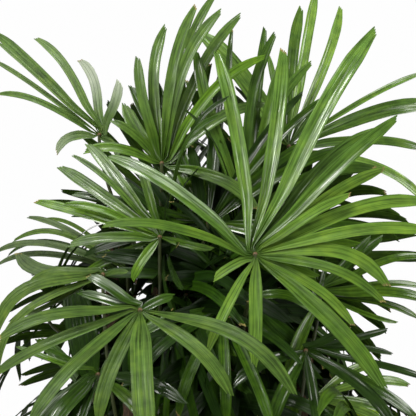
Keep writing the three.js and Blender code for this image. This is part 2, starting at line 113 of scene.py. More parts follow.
# Leaves as cane, share of the cane, hub, turn, tilt, blade width, arch, and then either blades as
# (bearing, reach, arch, width, sweep) or a fan as first bearing, last bearing, count and reach
LEAVES = {
    "upper_left": ("left", 0.93, (-150, 40, 1045), -15, 20, 14, 0.05, [
        (-110, 65, 0.12, 14, 0.07), (-70, 159, 0.1, 9, -0.01), (-57, 214, 0.04, 7, -0.01),
        (-51, 208, 0.03, 6, -0.01), (-49, 243, 0.03), (-37, 170, 0.05, 12, 0.05),
        (-21, 120, 0.05, 14, 0.09), (17, 77, 0.05, 15, 0.1), (138, 42, 0.06, 9, -0.13)]),
    "upper_middle": ("left", 1, (-62, -30, 1010), 0, 12, 14, 0.05, [
        (-80, 104, 0.1, 13, 0.02), (-49, 85, 0.05, 11, 0.02), (-32, 93, 0.03, 18, -0.06),
        (-13, 143, 0.04, 14, -0.05), (1, 189, 0.05, 15, -0.07), (12, 213, 0.05, 14, -0.04),
        (17, 249, 0.05, 12, -0.04), (21, 216, 0.05, 15, -0.06), (27, 231, 0.05, 14, -0.03),
        (44, 196, 0.08, 13, -0.03), (59, 159, 0.1, 15, -0.01), (116, 139, 0.1, 17, -0.02)]),
    "upper_right": ("back_right", 0.93, (113, 60, 1028), 10, 15, 14, 0.04, [
        (-34, 200, 0.04, 26, 0.01), (-11, 130, 0.03, 9, -0.02), (9, 205, 0.04, 16, -0.03),
        (12, 223), (24, 224, 0.04, 14, 0.04), (43, 100, 0.04, 13), (62, 237, 0.04, 8),
        (73, 207, 0.05, 9, -0.02), (74, 218, 0.06, 14, 0.01), (93, 191, 0.08, 13, 0.01),
        (112, 214, 0.12, 13, 0.01)]),
    "front": ("middle", 0.93, (59, -190, 906), 0, 25, 13, 0.06, [
        (-179, 137, 0.06, 17, -0.01), (-155, 138, 0.06, 13, -0.01), (-121, 59, 0.05, 12),
        (-80, 190, 0.06, 13, 0.02), (-53, 232, 0.05, 17, 0.01), (-10, 267, 0.04, 18, 0.01),
        (8, 294, 0.04, 19, 0.02), (28, 331, 0.04, 23, -0.01), (42, 238, 0.05, 15, -0.04),
        (46, 249, 0.05, 17, 0.01), (54, 204, 0.06, 15), (58, 139, 0.06, 13, 0.01),
        (71, 235, 0.06, 18, -0.03), (84, 220, 0.06, 16, -0.01), (102, 168, 0.15, 18, -0.03),
        (113, 169, 0.15, 13, 0.03), (126, 148, 0.1, 13, 0.01), (139, 229, 0.08, 21, 0.01)]),
    "front_low": ("front_left", 0.93, (-84, -220, 840), -5, 35, 13, 0.08, [
        (-163, 146, 0.08, 19, 0.01), (-143, 196, 0.06, 17, 0.01), (-115, 194, 0.06, 15, -0.01),
        (-106, 174, 0.08, 16, 0.02), (-71, 82, 0.05, 13, -0.03), (-57, 78, 0.05, 14),
        (61, 43, 0.05), (121, 224, 0.14, 18, -0.02), (132, 154, 0.12, 18),
        (173, 175, 0.08, 27, 0.01)]),
    "left": ("left", 0.8, (-63, -100, 918), -10, 20, 13, 0.03, [
        (-149, 64, 0.06), (-97, 116, 0.04, 14, 0.01), (-74, 181, 0.04, 13, -0.02),
        (-73, 134, 0.04, 10, 0.04), (-56, 173, 0.03, 16, -0.01), (-49, 161, 0.03, 8, 0.03),
        (-40, 168, 0.03, 16), (-18, 102, 0.03, 12), (101, 69, 0.06, 10, 0.07)]),
    "middle_back": ("back", 0.93, (51, -20, 939), 0, 10, 14, 0.03, [
        (-23, 201, 0.03, 14, -0.01), (-17, 229, 0.03, 16, -0.04), (-4, 259, 0.02, 8, -0.04),
        (4, 245, 0.03, 14, -0.06), (6, 260, 0.03, 12), (13, 209),
        (23, 228, 0.03, 14, -0.07), (70, 180, 0.12, 18)]),
    "left_back": ("far_left", 0.72, (-110, 10, 861), -20, 35, 10, 0.12, [
        (-88, 211, 0.12, 10, -0.02), (-87, 198), (-83, 198, 0.15, 8), (-80, 178, 0.12, 9, 0.05),
        (-68, 66, 0.08, 11, 0.02), (-67, 177, 0.05, 9, 0.02), (-62, 178, 0.08, 6, 0.03)]),
    "left_low": ("front_left", 0.8, (-138, -90, 868), -25, 40, 9, 0.22, [
        (-141, 180, 0.22, 13, -0.04), (-133, 159, 0.2, 22, 0.02), (-123, 117, 0.1, 9, -0.16),
        (-107, 103, 0.15, 14, -0.02), (-78, 150, 0.03, 20, -0.13), (85, 36, 0.05)]),
    "low_left": ("front_left", 0.66, (-140, -170, 750), -20, 35, 24, 0.14, [
        (-174, 110, 0.14, 22), (-160, 120), (-146, 120), (-77, 118, 0.02, 8, -0.03),
        (-68, 91, 0.03, 6), (95, 130, 0.1, 17), (130, 130, 0.14, 17)]),
    "right": ("right", 0.93, (149, -60, 837), 15, 25, 7, 0.03, [
        (-169, 179, 0.04, 18, 0.12), (-29, 66, 0.04, 14), (-1, 44), (18, 46), (42, 60),
        (47, 106, 0.03, 14), (52, 132, 0.03, 12), (74, 159, 0.08, 11, -0.02),
        (87, 156, 0.08, 9, 0.01), (97, 148, 0.08, 15, 0.01), (104, 143, 0.08, 10, 0.01),
        (115, 109, 0.06, 7, 0.09)]),
    "right_low": ("right", 0.78, (127, -120, 772), 10, 35, 17, 0.1, [
        (-150, 110, 0.1, 18), (-115, 110), (65, 120, 0.03, 10, 0.03), (67, 65, 0.03, 12),
        (92, 117, 0.03, 9, -0.03), (109, 160, 0.1, 11, 0.07), (124, 164, 0.12, 15, 0.08),
        (140, 150), (178, 99, 0.05, 14)]),
    "low_right": ("front_right", 0.93, (143, -60, 700), 25, 35, 14, 0.1, (72, 165, 6, 150)),
    "middle_low": ("middle", 0.8, (18, -110, 823), 0, 35, 15, 0.1, [
        (-158, 150), (-132, 140), (-108, 120), (100, 120, 0.1, 14), (125, 122, 0.08, 12),
        (160, 179, 0.03, 15, -0.01), (178, 150)]),
    "young_left": ("left", 0.62, (-154, -60, 702), -10, 20, 18, 0.05, [
        (-48, 110), (-14, 145, 0.05, 42), (30, 120, 0.05, 20)]),
    "young_right": ("right", 0.6, (168, 0, 610), 20, 30, 18, 0.05, [
        (2, 60), (50, 105, 0.05, 42), (84, 130)]),
}

# The rule for the other leaves, as in the source: hubs spread evenly over a shell round the canes, from the
# top down, kept further in behind the named leaves, and each on the nearest cane
GOLDEN_TURN = 137.5
SHELL = {"count": 42, "high": 935, "low": 560, "middle": 740, "half": 300, "radius": 225, "inner": 0.3}
SHELL_ROUNDNESS = 0.7
# Above each height, how far round from the front a hub is kept in
KEPT_IN = [(820, 125), (0, 80)]
LEAST_APART = 55
MOST_LEAVES = 53
# Leaves of the rule left out where the plant is open, on the right
OPEN = [15, 20]
# How far below its hub a leaf leaves its cane, and between which shares of the cane
CLIMB = (60, 140)
LEAF_AT = (0.45, 0.93)
HABITS = [
    {"above": 850, "tilt": 18, "heading": 15, "swing": 35, "spread": 225, "droop": 0.05, "arch": 0.07},
    {"above": 720, "tilt": 32, "heading": 85, "swing": 40, "spread": 255, "droop": 0.12, "arch": 0.11},
    {"above": 0, "tilt": 40, "heading": 175, "swing": 30, "spread": 275, "droop": 0.2, "arch": 0.14},
]
# The rule's blades: longest reach, width, how many, and how they sweep and shorten to the sides
RULE_REACH = 250
RULE_WIDTH = 26
BLADES = (7.6, 11.4)
RULE_SWEEP = 0.12
SIDE_SHORTER = 0.9
# How much the rule's draws vary a leaf, as shares of its distance out and size and as degrees, then a blade
# of it, as degrees and shares, and a blade of a fan, as shares
OUT_DRAW, SIZE_DRAW = (0.8, 1.1), (0.85, 1.15)
TURN_DRAW, TILT_DRAW = (-25, 25), (-10, 10)
BEARING_DRAW, REACH_DRAW, ARCH_DRAW, WIDTH_DRAW = (-4, 4), (0.9, 1.08), (0.6, 1.5), (0.75, 1.15)
FAN_REACH_DRAW, FAN_ARCH_DRAW = (0.85, 1.05), (0.8, 1.2)

# How the source may have moved a blade clear of its neighbours, as turn, share of the reach and added
# arch, and a petiole, as its bow and how far its foot went inward
NUDGES = [(0, 1, 0), (5, 1, 0), (-5, 1, 0), (0, 1, 0.07), (10, 1, 0), (-10, 1, 0), (0, 1, -0.07),
          (6, 1, 0.12), (-6, 1, 0.12), (6, 0.8, 0.05), (-6, 0.8, 0.05), (0, 0.62, 0), (12, 0.62, 0.06),
          (-12, 0.62, 0.06), (0, 0.62, -0.1), (0, 0.4, 0), (10, 0.4, 0), (-10, 0.4, 0)]
STEM_BOWS = [0, 0.14, -0.14, 0.28, -0.28, 0.42, -0.42]
STEM_INWARD = np.arange(-0.6, 2.4, 0.1)

# Where a petiole's rings lie in its solid, as shares of its length. A blade is in its leaf's solid where the
# corners of its last two rings lie this near to the solid's, on average.
STEM_RINGS = (0, 0.3, 0.65)
SAME_PLACE = 0.3
END_POINTS = 6

# Leaves within the crown, which only this file grows: the same rule on a smaller shell, at this share of
# the size, with petioles that start this much nearer to the cane
INNER_SHELL = {"count": 34, "high": 880, "low": 600, "middle": 740, "half": 300, "radius": 115,
               "inner": 0.5}
INNER_SIZE = 0.68
INNER_FOOT = 1.0

# A wide blade of the rule grows as two: from this width on, turned apart by this, each this share as wide,
# and how much each one's turn, lift and reach vary
SPLIT_FROM = 19
SPLIT_TURN = 4.2
SPLIT_WIDTH = 0.56
SPLIT_TURNS, SPLIT_LIFTS, SPLIT_REACHES = (0.8, 1.15), (0, 1.5), (0.86, 1)

# Blade detail: how many ribs a blade narrower than this has, and the rows of its mesh, closer at the tip
RIBS = [(11, 2), (19, 3), (30, 4), (100, 7)]
COLUMNS_PER_RIB = 4
ROW_PITCH = 13
FEWEST_ROWS, MOST_ROWS = 8, 30
TIP_SHARE = 0.9
TIP_STATIONS = [0.9, 0.925, 0.95, 0.975, 0.989, 1]

# Blade shape: where it starts, as a share of the hub's radius, and up to where its root's place shows; its
# least width, where it reaches full width and on what curve; how its tip narrows; and its twist in degrees
BLADE_START = 0.15
ROOT_HELD_TO = 0.3
LEAST_WIDTH = 1.8
FULL_WIDTH_AT = (0.28, 0.52)
WIDTH_CURVE = 1.7
NARROWS_FROM = 0.86
TIP_NARROWER = 0.52
TIP_CURVE = 1.3
MOST_TWIST = 7

# Pleats: the width at which they have their full depth, and how much of it a tip loses. The channel down
# the middle is a share of the source's keel, and shallower towards the tip.
PLEAT_WIDTH = 20
PLEAT_DEPTHS = (0.6, 1.2)
PLEAT_FADE = 0.4
CHANNEL = 0.8
CHANNEL_FADE = (0.35, 0.95, 0.8)

# The tip: each rib's tooth, as a share of half the width up to a widest, and how unevenly it is cut
TOOTH = (0.15, 0.5)
WIDEST_TOOTH = 24
UNEVEN = (-1.5, 0.5)

# Where on a blade's sheet a face is
UPPER, LOWER, TIP = 0, 1, 2

# A hub and a petiole: heights and radii along the hub, rows, sides, and the swelling at a petiole's foot
HUB_PROFILE = [(-5.0, 1.6), (-4.0, 2.6), (-2.0, 3.2), (0, 2.9), (1.0, 2.0), (1.6, 0.8)]
HUB_SIDES = 12
STEM_ROWS, STEM_SIDES = 22, 8
FOOT_SWELLS = 0.35
FOOT_ENDS = 0.12

# Canes: the mesh's rows and sides; ring scars on the bare part; old sheaths' mouths, how far they slant,
# stand proud and fade down and up; and the weave and roughness of the fibre
CANE_ROWS, CANE_SIDES = 150, 20
SCARS, SCARS_TO = 16, 0.5
SCAR_RISE, SCAR_WIDTH = 0.7, 3.0
OLD_SHEATHS, OLD_SHEATHS_FROM = 6, 0.36
MOUTH_OVER_FOOT = 6
MOUTH_SLANT = 12
MOUTH_RISE = 1.1
FADES_DOWN, FADES_UP = 26, 3
WEAVE = 0.22
WEAVE_TURNS = 5
WEAVE_CLIMB, WEAVE_FALL = 0.35, 0.31
FIBRE_ROUGH = 0.16

# Strands of fibre: their rows, sides and radii, between which shares of the cane they begin and how long
# they are in shares of it, how far they wind and lift, and the share that is frayed and stands off
WRAPPED_FROM = SHEATH_FROM - 0.06
STRANDS = 70
STRAND_ROWS, STRAND_SIDES = 9, 3
STRAND_RADII = (0.45, 0.2)
STRAND_STARTS = (WRAPPED_FROM, 0.96)
STRAND_LENGTHS = (0.03, 0.09)
STRAND_WINDS = (0.8, 2.2)
STRAND_OVER, STRAND_LIFT = 0.5, 1.3
FRAYED = 0.3
FRAYED_OVER, FRAYED_LIFT = 0.4, (3, 9)

# Root crown: shares of its outline with the height at each, its middle, and the fibre's roughness and
# ripples, which are lower at the foot. A ridged collar runs up to each cane.
MOUND_SIDES = 180
MOUND = [(1.0, 0.0), (0.99, 4.0), (0.975, 8.0), (0.94, 11.5), (0.86, 15.0), (0.76, 18.0), (0.6, 19.5),
         (0.4, 20.2), (0.2, 20.6)]
MOUND_MIDDLE = 20.8
MOUND_WITHIN = 1.5
MOUND_ROUGH, ROUGH_RISE = 0.9, 0.8
RIPPLES, RIPPLE_RISE, RIPPLE_AT_FOOT = 23, 0.8, 0.2
COLLAR_ROWS, COLLAR_SIDES = 12, 28
COLLAR_FROM = 3
COLLAR_OVER_CANE = 1.5
COLLAR_FLARE, COLLAR_CURVE = 0.8, 0.7
COLLAR_RIDGES, RIDGE_RISE, RIDGES_TURN = 7, 0.9, (0, 6)
COLLAR_ROUGH = 0.25

# One unit of the pattern coordinates along a blade, petiole or cane, in millimetres. Each blade has a place
# of its own across the pattern, so that no two have the same streaks side by side.
PATTERN_UNIT = 10
PATTERN_PLACES = 40
PLACE_PITCH = 10


# ---------------------------------------------------------------- small helpers


class Draws:
    """The source's own random numbers."""

    FACTOR, MODULUS = 48271, 2147483647

    def __init__(self, seed):
        self.state = seed

    def __call__(self, low, high):
        self.state = (self.state * self.FACTOR) % self.MODULUS
        return low + (high - low) * (self.state / self.MODULUS)


def unit(v):
    return v / np.linalg.norm(v)


def rows_unit(v):
    return v / np.linalg.norm(v, axis=1)[:, None]


def cross_axes(along):
    """Two directions square to each row's and to each other."""
    across = rows_unit(np.cross(along, [0.0, 1.0, 0.0]))
    return across, np.cross(along, across)


def smoothstep(x, low, high):
    s = np.clip((np.asarray(x, float) - low) / (high - low), 0, 1)
    return s * s * (3 - 2 * s)


def turns(count):
    """Angles evenly round a circle."""
    return 2 * np.pi * np.arange(count) / count


def facing(turn, tilt):
    """The direction that is turned from the front, to the right, and tilted up."""
    a, b = math.radians(turn), math.radians(tilt)
    return np.array([math.sin(a) * math.cos(b), -math.cos(a) * math.cos(b), math.sin(b)])


def leaf_axes(turn, tilt):
    """The upper side's normal, uphill in the leaf's plane, and right as seen from above."""
    normal = facing(turn, tilt)
    uphill = unit(UP - normal[2] * normal)
    return normal, uphill, np.cross(uphill, normal)


# ---------------------------------------------------------------- canes and leaves, by the source's rule


class CaneLine:
    """A cane's middle line: upright at its foot, then leaning to its top."""

    def __init__(self, name):
        (x, y), top = CANES[name]
        self.top = np.array(top, float)
        self.foot = np.array([x, y, CROWN_HEIGHT + SEAT])
        self.bend = np.array([x, y, top[2] * BEND_HEIGHT])

    def point(self, t):
        t = np.asarray(t, float)[..., None]
        return (1 - t) ** 2 * self.foot + 2 * (1 - t) * t * self.bend + t * t * self.top

    def tangent(self, t):
        t = np.asarray(t, float)[..., None]
        way = (1 - t) * (self.bend - self.foot) + t * (self.top - self.bend)
        return way / np.linalg.norm(way, axis=-1, keepdims=True)


def wrapped(t):
    """0 on the bare part of a cane, 1 where sheaths wrap it."""
    return smoothstep(t, SHEATH_FROM + SHEATH_EDGE[0], SHEATH_FROM + SHEATH_EDGE[1])


def cane_radius(t):
    body = BARE_RADIUS + (SHEATH_RADIUS - BARE_RADIUS) * wrapped(t)
    return body + (TIP_RADIUS - body) * smoothstep(t, TIP_FROM, 1)


def petiole_radius(t):
    """A petiole is at its least radius from half way on."""
    return PETIOLE_FOOT + (PETIOLE_END - PETIOLE_FOOT) * np.minimum(1, 2 * t)


def nearest_cane(hub, climb):
    """The cane whose place for this leaf is nearest, and that place as a share of the cane."""
    found = []
    for name, (_, top) in CANES.items():
        at = min(max((hub[2] - climb) / top[2], LEAF_AT[0]), LEAF_AT[1])
        found.append((np.linalg.norm(CaneLine(name).point(at) - hub), name, at))
    return min(found, key=lambda one: one[0])[1:]


def rule_leaf(index, draw, shell):
    """One leaf of the rule, by its place from the shell's top down."""
    share = (index + 0.5) / shell["count"]
    height = (1 - share) * shell["high"] + share * shell["low"]
    turn = ((index * GOLDEN_TURN + 180) % 360) - 180
    across = (height - shell["middle"]) / shell["half"]
    within = next(zone[1] for zone in KEPT_IN if height > zone[0])
    depth = shell["inner"] if abs(turn) < within else 1
    out = shell["radius"] * math.sqrt(1 - SHELL_ROUNDNESS * across * across) * depth * draw(*OUT_DRAW)
    hub = np.array([math.sin(math.radians(turn)) * out, -math.cos(math.radians(turn)) * out, height])
    cane, at = nearest_cane(hub, draw(*CLIMB))
    habit = next(one for one in HABITS if height > one["above"])
    side = -1 if draw(-1, 1) < 0 else 1
    heading = side * habit["heading"] + draw(-habit["swing"], habit["swing"])
    size = draw(*SIZE_DRAW)
    count = math.floor(draw(*BLADES) + 0.5)
    blades = []
    for i in range(count):
        off = i / (count - 1) - 0.5
        blades.append({
            "bearing": heading + habit["spread"] * off + draw(*BEARING_DRAW),
            "reach": RULE_REACH * size * (1 - SIDE_SHORTER * off * off) * draw(*REACH_DRAW),
            "arch": habit["arch"] * draw(*ARCH_DRAW),
            "width": RULE_WIDTH * size * draw(*WIDTH_DRAW),
            "sweep": RULE_SWEEP * off,
        })
    return {"name": f"leaf_{index + 1}", "cane": cane, "at": at, "hub": hub,
            "turn": turn + draw(*TURN_DRAW), "tilt": habit["tilt"] + draw(*TILT_DRAW),
            "droop": habit["droop"], "blades": blades}


def fan(first, last, count, reach, arch, draw):
    """Evenly spread blades, as bearing, reach and arch."""
    return [(first + (last - first) * i / (count - 1), reach * draw(*FAN_REACH_DRAW),
             arch * draw(*FAN_ARCH_DRAW)) for i in range(count)]


def named_leaf(name, draw):
    """One of the leaves above. A blade's values that its row leaves out are its leaf's."""
    cane, at, hub, turn, tilt, width, arch, blades = LEAVES[name]
    if isinstance(blades, tuple):
        blades = fan(*blades, arch, draw)
    usual = (None, None, arch, width, 0)
    keys = ("bearing", "reach", "arch", "width", "sweep")
    rows = [dict(zip(keys, (*blade, *usual[len(blade):]))) for blade in blades]
    return {"name": f"leaf_{name}", "cane": cane, "at": at, "hub": np.array(hub, float), "turn": turn,
            "tilt": tilt, "droop": 0, "blades": rows}


def with_roots(leaf):
    """The leaf with its blades in order, each with its root's bearing on the hub and its lift."""
    blades = sorted(leaf["blades"], key=lambda b: b["bearing"])
    first, last = blades[0]["bearing"], blades[-1]["bearing"]
    spread = max(last - first, ROOT_PITCH * (len(blades) - 1))
    for i, blade in enumerate(blades):
        blade["root"] = (first + last) / 2 + spread * (i / max(1, len(blades) - 1) - 0.5)
        blade["lift"] = STAGGER if i % 2 else -STAGGER
    return {**leaf, "blades": blades}


def outer_leaves():
    """The source's leaves, in its order."""
    draw = Draws(RULE_SEED)
    leaves = [named_leaf(name, draw) for name in LEAVES]
    for index in range(SHELL["count"]):
        leaf = rule_leaf(index, draw, SHELL)
        apart = all(np.linalg.norm(other["hub"] - leaf["hub"]) > LEAST_APART for other in leaves)
        if apart and len(leaves) < MOST_LEAVES and index + 1 not in OPEN:
            leaves.append(leaf)
    return [with_roots(leaf) for leaf in leaves if leaf["name"] in frame["nodes"]]


def inner_leaves():
    """The small dark leaves round the canes, by cane."""
    draw = Draws(DETAIL_SEED)
    grown = {name: [] for name in CANES}
    for index in range(INNER_SHELL["count"]):
        leaf = rule_leaf(index, draw, INNER_SHELL)
        for blade in leaf["blades"]:
            blade["reach"] *= INNER_SIZE
            blade["width"] *= INNER_SIZE
        grown[leaf["cane"]].append(with_roots(leaf))
    return grown


class BladeLine:
    """A blade's middle line: out of the hub's rim, along its bearing, bowed up and outward."""

    def __init__(self, leaf, blade, nudge):
        turned, shortened, arched = nudge
        self.normal, uphill, right = leaf_axes(leaf["turn"], leaf["tilt"])
        self.hub = leaf["hub"]
        bearing, root = math.radians(blade["bearing"] + turned), math.radians(blade["root"])
        self.reach = blade["reach"] * shortened
        self.keel = max(LEAST_KEEL, KEEL_SHARE * self.reach)
        chord = uphill * math.cos(bearing) + right * math.sin(bearing) - UP * leaf["droop"]
        self.chord = unit(chord + self.normal * math.tan(math.radians(blade["lift"])))
        bow = UP + BOW_OUTWARD * self.normal
        self.bend = (unit(bow - self.chord * (bow @ self.chord)) * (blade["arch"] + arched)
                     + unit(np.cross(self.chord, self.normal)) * blade["sweep"])
        self.arched = math.hypot(blade["arch"], blade["sweep"]) > ARCHED_FROM
        self.root = uphill * math.cos(root) + right * math.sin(root)
        self.width = blade["width"]

    def point(self, t):
        t = np.asarray(t, float)[..., None]
        return self.hub + self.reach * (self.chord * t + self.bend * t * (1 - t) * (0.5 + t) / BEND_PEAK)

    def solid_points(self):
        """The corners of the source's strip, but for those of its first ring."""
        points = []
        for t, wide in ARCHED if self.arched else STRAIGHT:
            along = unit(self.point(min(1, t + SLOPE_STEP)) - self.point(t - SLOPE_STEP))
            across = unit(np.cross(self.normal, along))
            width = self.width * wide
            cut = 0.5 * self.width if t == 1 else 0
            centre = self.point(t)
            points += [centre + 0.5 * width * across + cut * along, centre - 0.5 * width * across,
                       centre + self.keel * np.cross(across, along)]
        return np.array(points)


def node_points(name):
    """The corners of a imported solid, in millimetres."""
    mesh = frame["nodes"][name].data
    co = np.empty(len(mesh.vertices) * 3)
    mesh.vertices.foreach_get("co", co)
    return co.reshape(-1, 3) / MM


def off_by(points, corners):
    """The mean distance from each point to the nearest corner of the solid."""
    return np.linalg.norm(points[:, None] - corners[None], axis=2).min(1).mean()


def settled_blades(leaf, corners):
    """The blades that the solid has, each with the nudge that it has there."""
    found = []
    for blade in leaf["blades"]:
        ends = [BladeLine(leaf, blade, nudge).solid_points()[-END_POINTS:] for nudge in NUDGES]
        scores = [off_by(points, corners) for points in ends]
        if min(scores) < SAME_PLACE:
            found.append((blade, NUDGES[int(np.argmin(scores))]))
    return found


def finer(leaf, blade, nudge, rng):
    """The middle lines of the blades that stand for one of the solid's."""
    if leaf["name"].removeprefix("leaf_") in LEAVES or blade["width"] < SPLIT_FROM:
        return [BladeLine(leaf, blade, nudge)]
    halves = []
    for side in (-1, 1):
        half = {**blade,
                "bearing": blade["bearing"] + side * SPLIT_TURN * rng.uniform(*SPLIT_TURNS),
                "root": blade["root"] + side * SPLIT_TURN,
                "lift": blade["lift"] + side * rng.uniform(*SPLIT_LIFTS),
                "reach": blade["reach"] * rng.uniform(*SPLIT_REACHES),
                "width": blade["width"] * SPLIT_WIDTH}
        halves.append(BladeLine(leaf, half, nudge))
    return halves


class StemLine:
    """A petiole's middle line, from the cane's side or tip up and over into the hub."""

    def __init__(self, leaf, bow, inward):
        line = CaneLine(leaf["cane"])
        at, hub = leaf["at"], leaf["hub"]
        axis, rise = line.point(at), line.tangent(at)
        out = hub - axis
        self.out = unit(out - rise * (out @ rise))
        if at == 1:
            start, foot = rise, axis + rise * (SEAT - inward)
        else:
            start = unit(rise + self.out)
            foot = axis + self.out * (cane_radius(at) + SEAT + PETIOLE_FOOT * FOOT_SHOWS - inward)
        length = np.linalg.norm(foot - hub)
        aside = np.cross(self.out, rise) * bow * length
        self.controls = [foot, foot + start * LEAVES_STRAIGHT * length + aside,
                         hub - UP * ENTERS_STRAIGHT * length + aside, hub]

    def point(self, t):
        t = np.asarray(t, float)[..., None]
        a, b, c, d = self.controls
        return (1 - t) ** 3 * a + 3 * (1 - t) ** 2 * t * b + 3 * (1 - t) * t * t * c + t ** 3 * d

    def misfit(self, corners):
        """How far the solid's rings lie from where this petiole has them."""
        total = 0
        for t in STEM_RINGS:
            away = np.linalg.norm(corners - self.point(t), axis=1)
            radius = petiole_radius(t)
            total += abs(abs(away - radius).min() + away.min() - radius)
        return total


def settled_stem(leaf, corners):
    """The petiole's line as the solid has it."""
    lines = [StemLine(leaf, bow, inward) for bow in STEM_BOWS for inward in STEM_INWARD]
    return min(lines, key=lambda line: line.misfit(corners))


# ---------------------------------------------------------------- meshes


class Skin:
    """Points, faces, pattern coordinates and finishes of one piece, gathered part by part. A face whose
    last corner is its first is a triangle."""

    def __init__(self):
        self.points, self.faces, self.maps, self.finishes = [], [], [], []
        self.count = 0

    def add(self, points, faces, maps, finish):
        self.points.append(points)
        self.faces.append(np.asarray(faces) + self.count)
        self.maps.append(maps)
        self.finishes.append(np.broadcast_to(finish, len(faces)))
        self.count += len(points)

    def mesh(self, name, finishes, crease):
        """The piece's mesh, sharp where faces meet at more than the crease's degrees."""
        points = np.vstack(self.points) * MM
        faces = np.vstack(self.faces)
        keep = np.ones(faces.shape, bool)
        keep[:, 3] = faces[:, 3] != faces[:, 0]
        corners = faces[keep]
        starts = np.concatenate([[0], np.cumsum(keep.sum(1))[:-1]])
        mesh = bpy.data.meshes.new(name)
        mesh.vertices.add(len(points))
        mesh.vertices.foreach_set("co", points.astype(np.float32).ravel())
        mesh.loops.add(len(corners))
        mesh.loops.foreach_set("vertex_index", corners.astype(np.int32))
        mesh.polygons.add(len(faces))
        mesh.polygons.foreach_set("loop_start", starts.astype(np.int32))
        for finish in finishes:
            mesh.materials.append(bpy.data.materials[finish])
        mesh.polygons.foreach_set("material_index", np.concatenate(self.finishes).astype(np.int32))
        layer = mesh.uv_layers.new(name="pattern")
        layer.data.foreach_set("uv", np.vstack(self.maps)[corners].astype(np.float32).ravel())
        mesh.update(calc_edges=True)
        if mesh.validate():
            raise RuntimeError(f"{name} has bad faces")
        mesh.polygons.foreach_set("use_smooth", np.ones(len(faces), bool))
        mesh.set_sharp_from_angle(angle=math.radians(crease))
        return mesh

    def piece(self, name, finishes, nodes, crease=38):
        """Makes the piece, with its finishes by name, in place of the nodes."""
        made = bpy.data.objects.new(name, self.mesh(name, finishes, crease))
        bpy.context.scene.collection.objects.link(made)
        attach(made, "root")
        if nodes:
            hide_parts(*nodes)


def ring_faces(rows, sides):
    """Faces between rings of points, closed at each end on one of the two points that follow them."""
    grid = np.arange(rows * sides).reshape(rows, sides)
    ahead = np.roll(grid, -1, 1)
    walls = np.stack([grid[:-1], ahead[:-1], ahead[1:], grid[1:]], -1).reshape(-1, 4)
    low, high = np.full(sides, rows * sides), np.full(sides, rows * sides + 1)
    return np.vstack([walls, np.stack([low, ahead[0], grid[0], low], -1),
                      np.stack([high, grid[-1], ahead[-1], high], -1)])


def tube(points, radii, sides):
    """A closed tube along points, its radius given by row or by row and side: its points, faces and
    pattern coordinates."""
    points = np.asarray(points, float)
    across, other = cross_axes(rows_unit(np.gradient(points, axis=0)))
    angles = turns(sides)
    radii = np.asarray(radii, float)
    if radii.ndim == 1:
        radii = np.repeat(radii[:, None], sides, 1)
    rings = (points[:, None] + radii[..., None] * (np.cos(angles)[None, :, None] * across[:, None]
                                                   + np.sin(angles)[None, :, None] * other[:, None]))
    steps = np.concatenate([[0], np.cumsum(np.linalg.norm(np.diff(points, axis=0), axis=1))])
    rising = steps[:, None] / PATTERN_UNIT
    maps = np.stack(np.broadcast_arrays((np.arange(sides) / sides)[None], rising), -1).reshape(-1, 2)
    maps = np.vstack([maps, [[0, 0]], [[0, steps[-1] / PATTERN_UNIT]]])
    return np.vstack([rings.reshape(-1, 3), points[:1], points[-1:]]), ring_faces(len(points), sides), maps


def blade_frame(line, stations, twist):
    """A blade's middle line, which starts from its root's own place on the hub, and its directions along,
    across and up. It twists towards its tip."""
    rim = HUB_RADIUS / line.reach
    join = line.root * HUB_RADIUS - (line.point(rim) - line.hub)
    held = (1 - smoothstep(stations, rim, ROOT_HELD_TO)) * np.minimum(1, stations / rim)
    middle = line.point(stations) + held[:, None] * join
    along = rows_unit(np.gradient(middle, axis=0))
    across = rows_unit(np.cross(line.normal, along))
    upward = np.cross(along, across)
    twist = twist * stations ** 2
    cosine, sine = np.cos(twist)[:, None], np.sin(twist)[:, None]
    return middle, along, across * cosine + upward * sine, upward * cosine - across * sine


def blade_widths(width, stations, full):
    """A blade's width at each station: rounded out to its full width, and narrower at its tip."""
    wide = np.maximum(width * (1 - (1 - np.minimum(stations / full, 1)) ** WIDTH_CURVE), LEAST_WIDTH)
    late = np.clip((stations - NARROWS_FROM) / (1 - NARROWS_FROM), 0, 1)
    return wide * (1 - TIP_NARROWER * late ** TIP_CURVE)


def pleats(line, stations, u, wave, rib_depth):
    """How high each point lies over the blade's plane: a channel down the middle, with pleats in it."""
    depth = rib_depth / MM * np.clip(line.width / PLEAT_WIDTH, *PLEAT_DEPTHS) * (1 - PLEAT_FADE * stations)
    fades_from, fades_to, fade = CHANNEL_FADE
    trough = -CHANNEL * line.keel * (1 - smoothstep(stations, fades_from, fades_to) * fade)
    return trough[:, None] * (1 - np.abs(2 * u))[None] + depth[:, None] * wave[None]


def cut_ends(width, ribs, u, wave, rng):
    """How far past the tip each column reaches: on a slant, each rib in its own tooth."""
    tooth = rng.uniform(*TOOTH, ribs) * min(width, WIDEST_TOOTH) * 0.5
    own = np.clip((u + 0.5) * ribs, 0, ribs - 1e-6).astype(int)
    return (0.5 * width * (u + 0.5) + np.where(wave > -0.5, 0, -tooth[own])
            + rng.uniform(*UNEVEN, ribs)[own])


def quads(grid):
    """A face for each cell of a grid of points."""
    return np.stack([grid[:-1, :-1], grid[:-1, 1:], grid[1:, 1:], grid[1:, :-1]], -1).reshape(-1, 4)


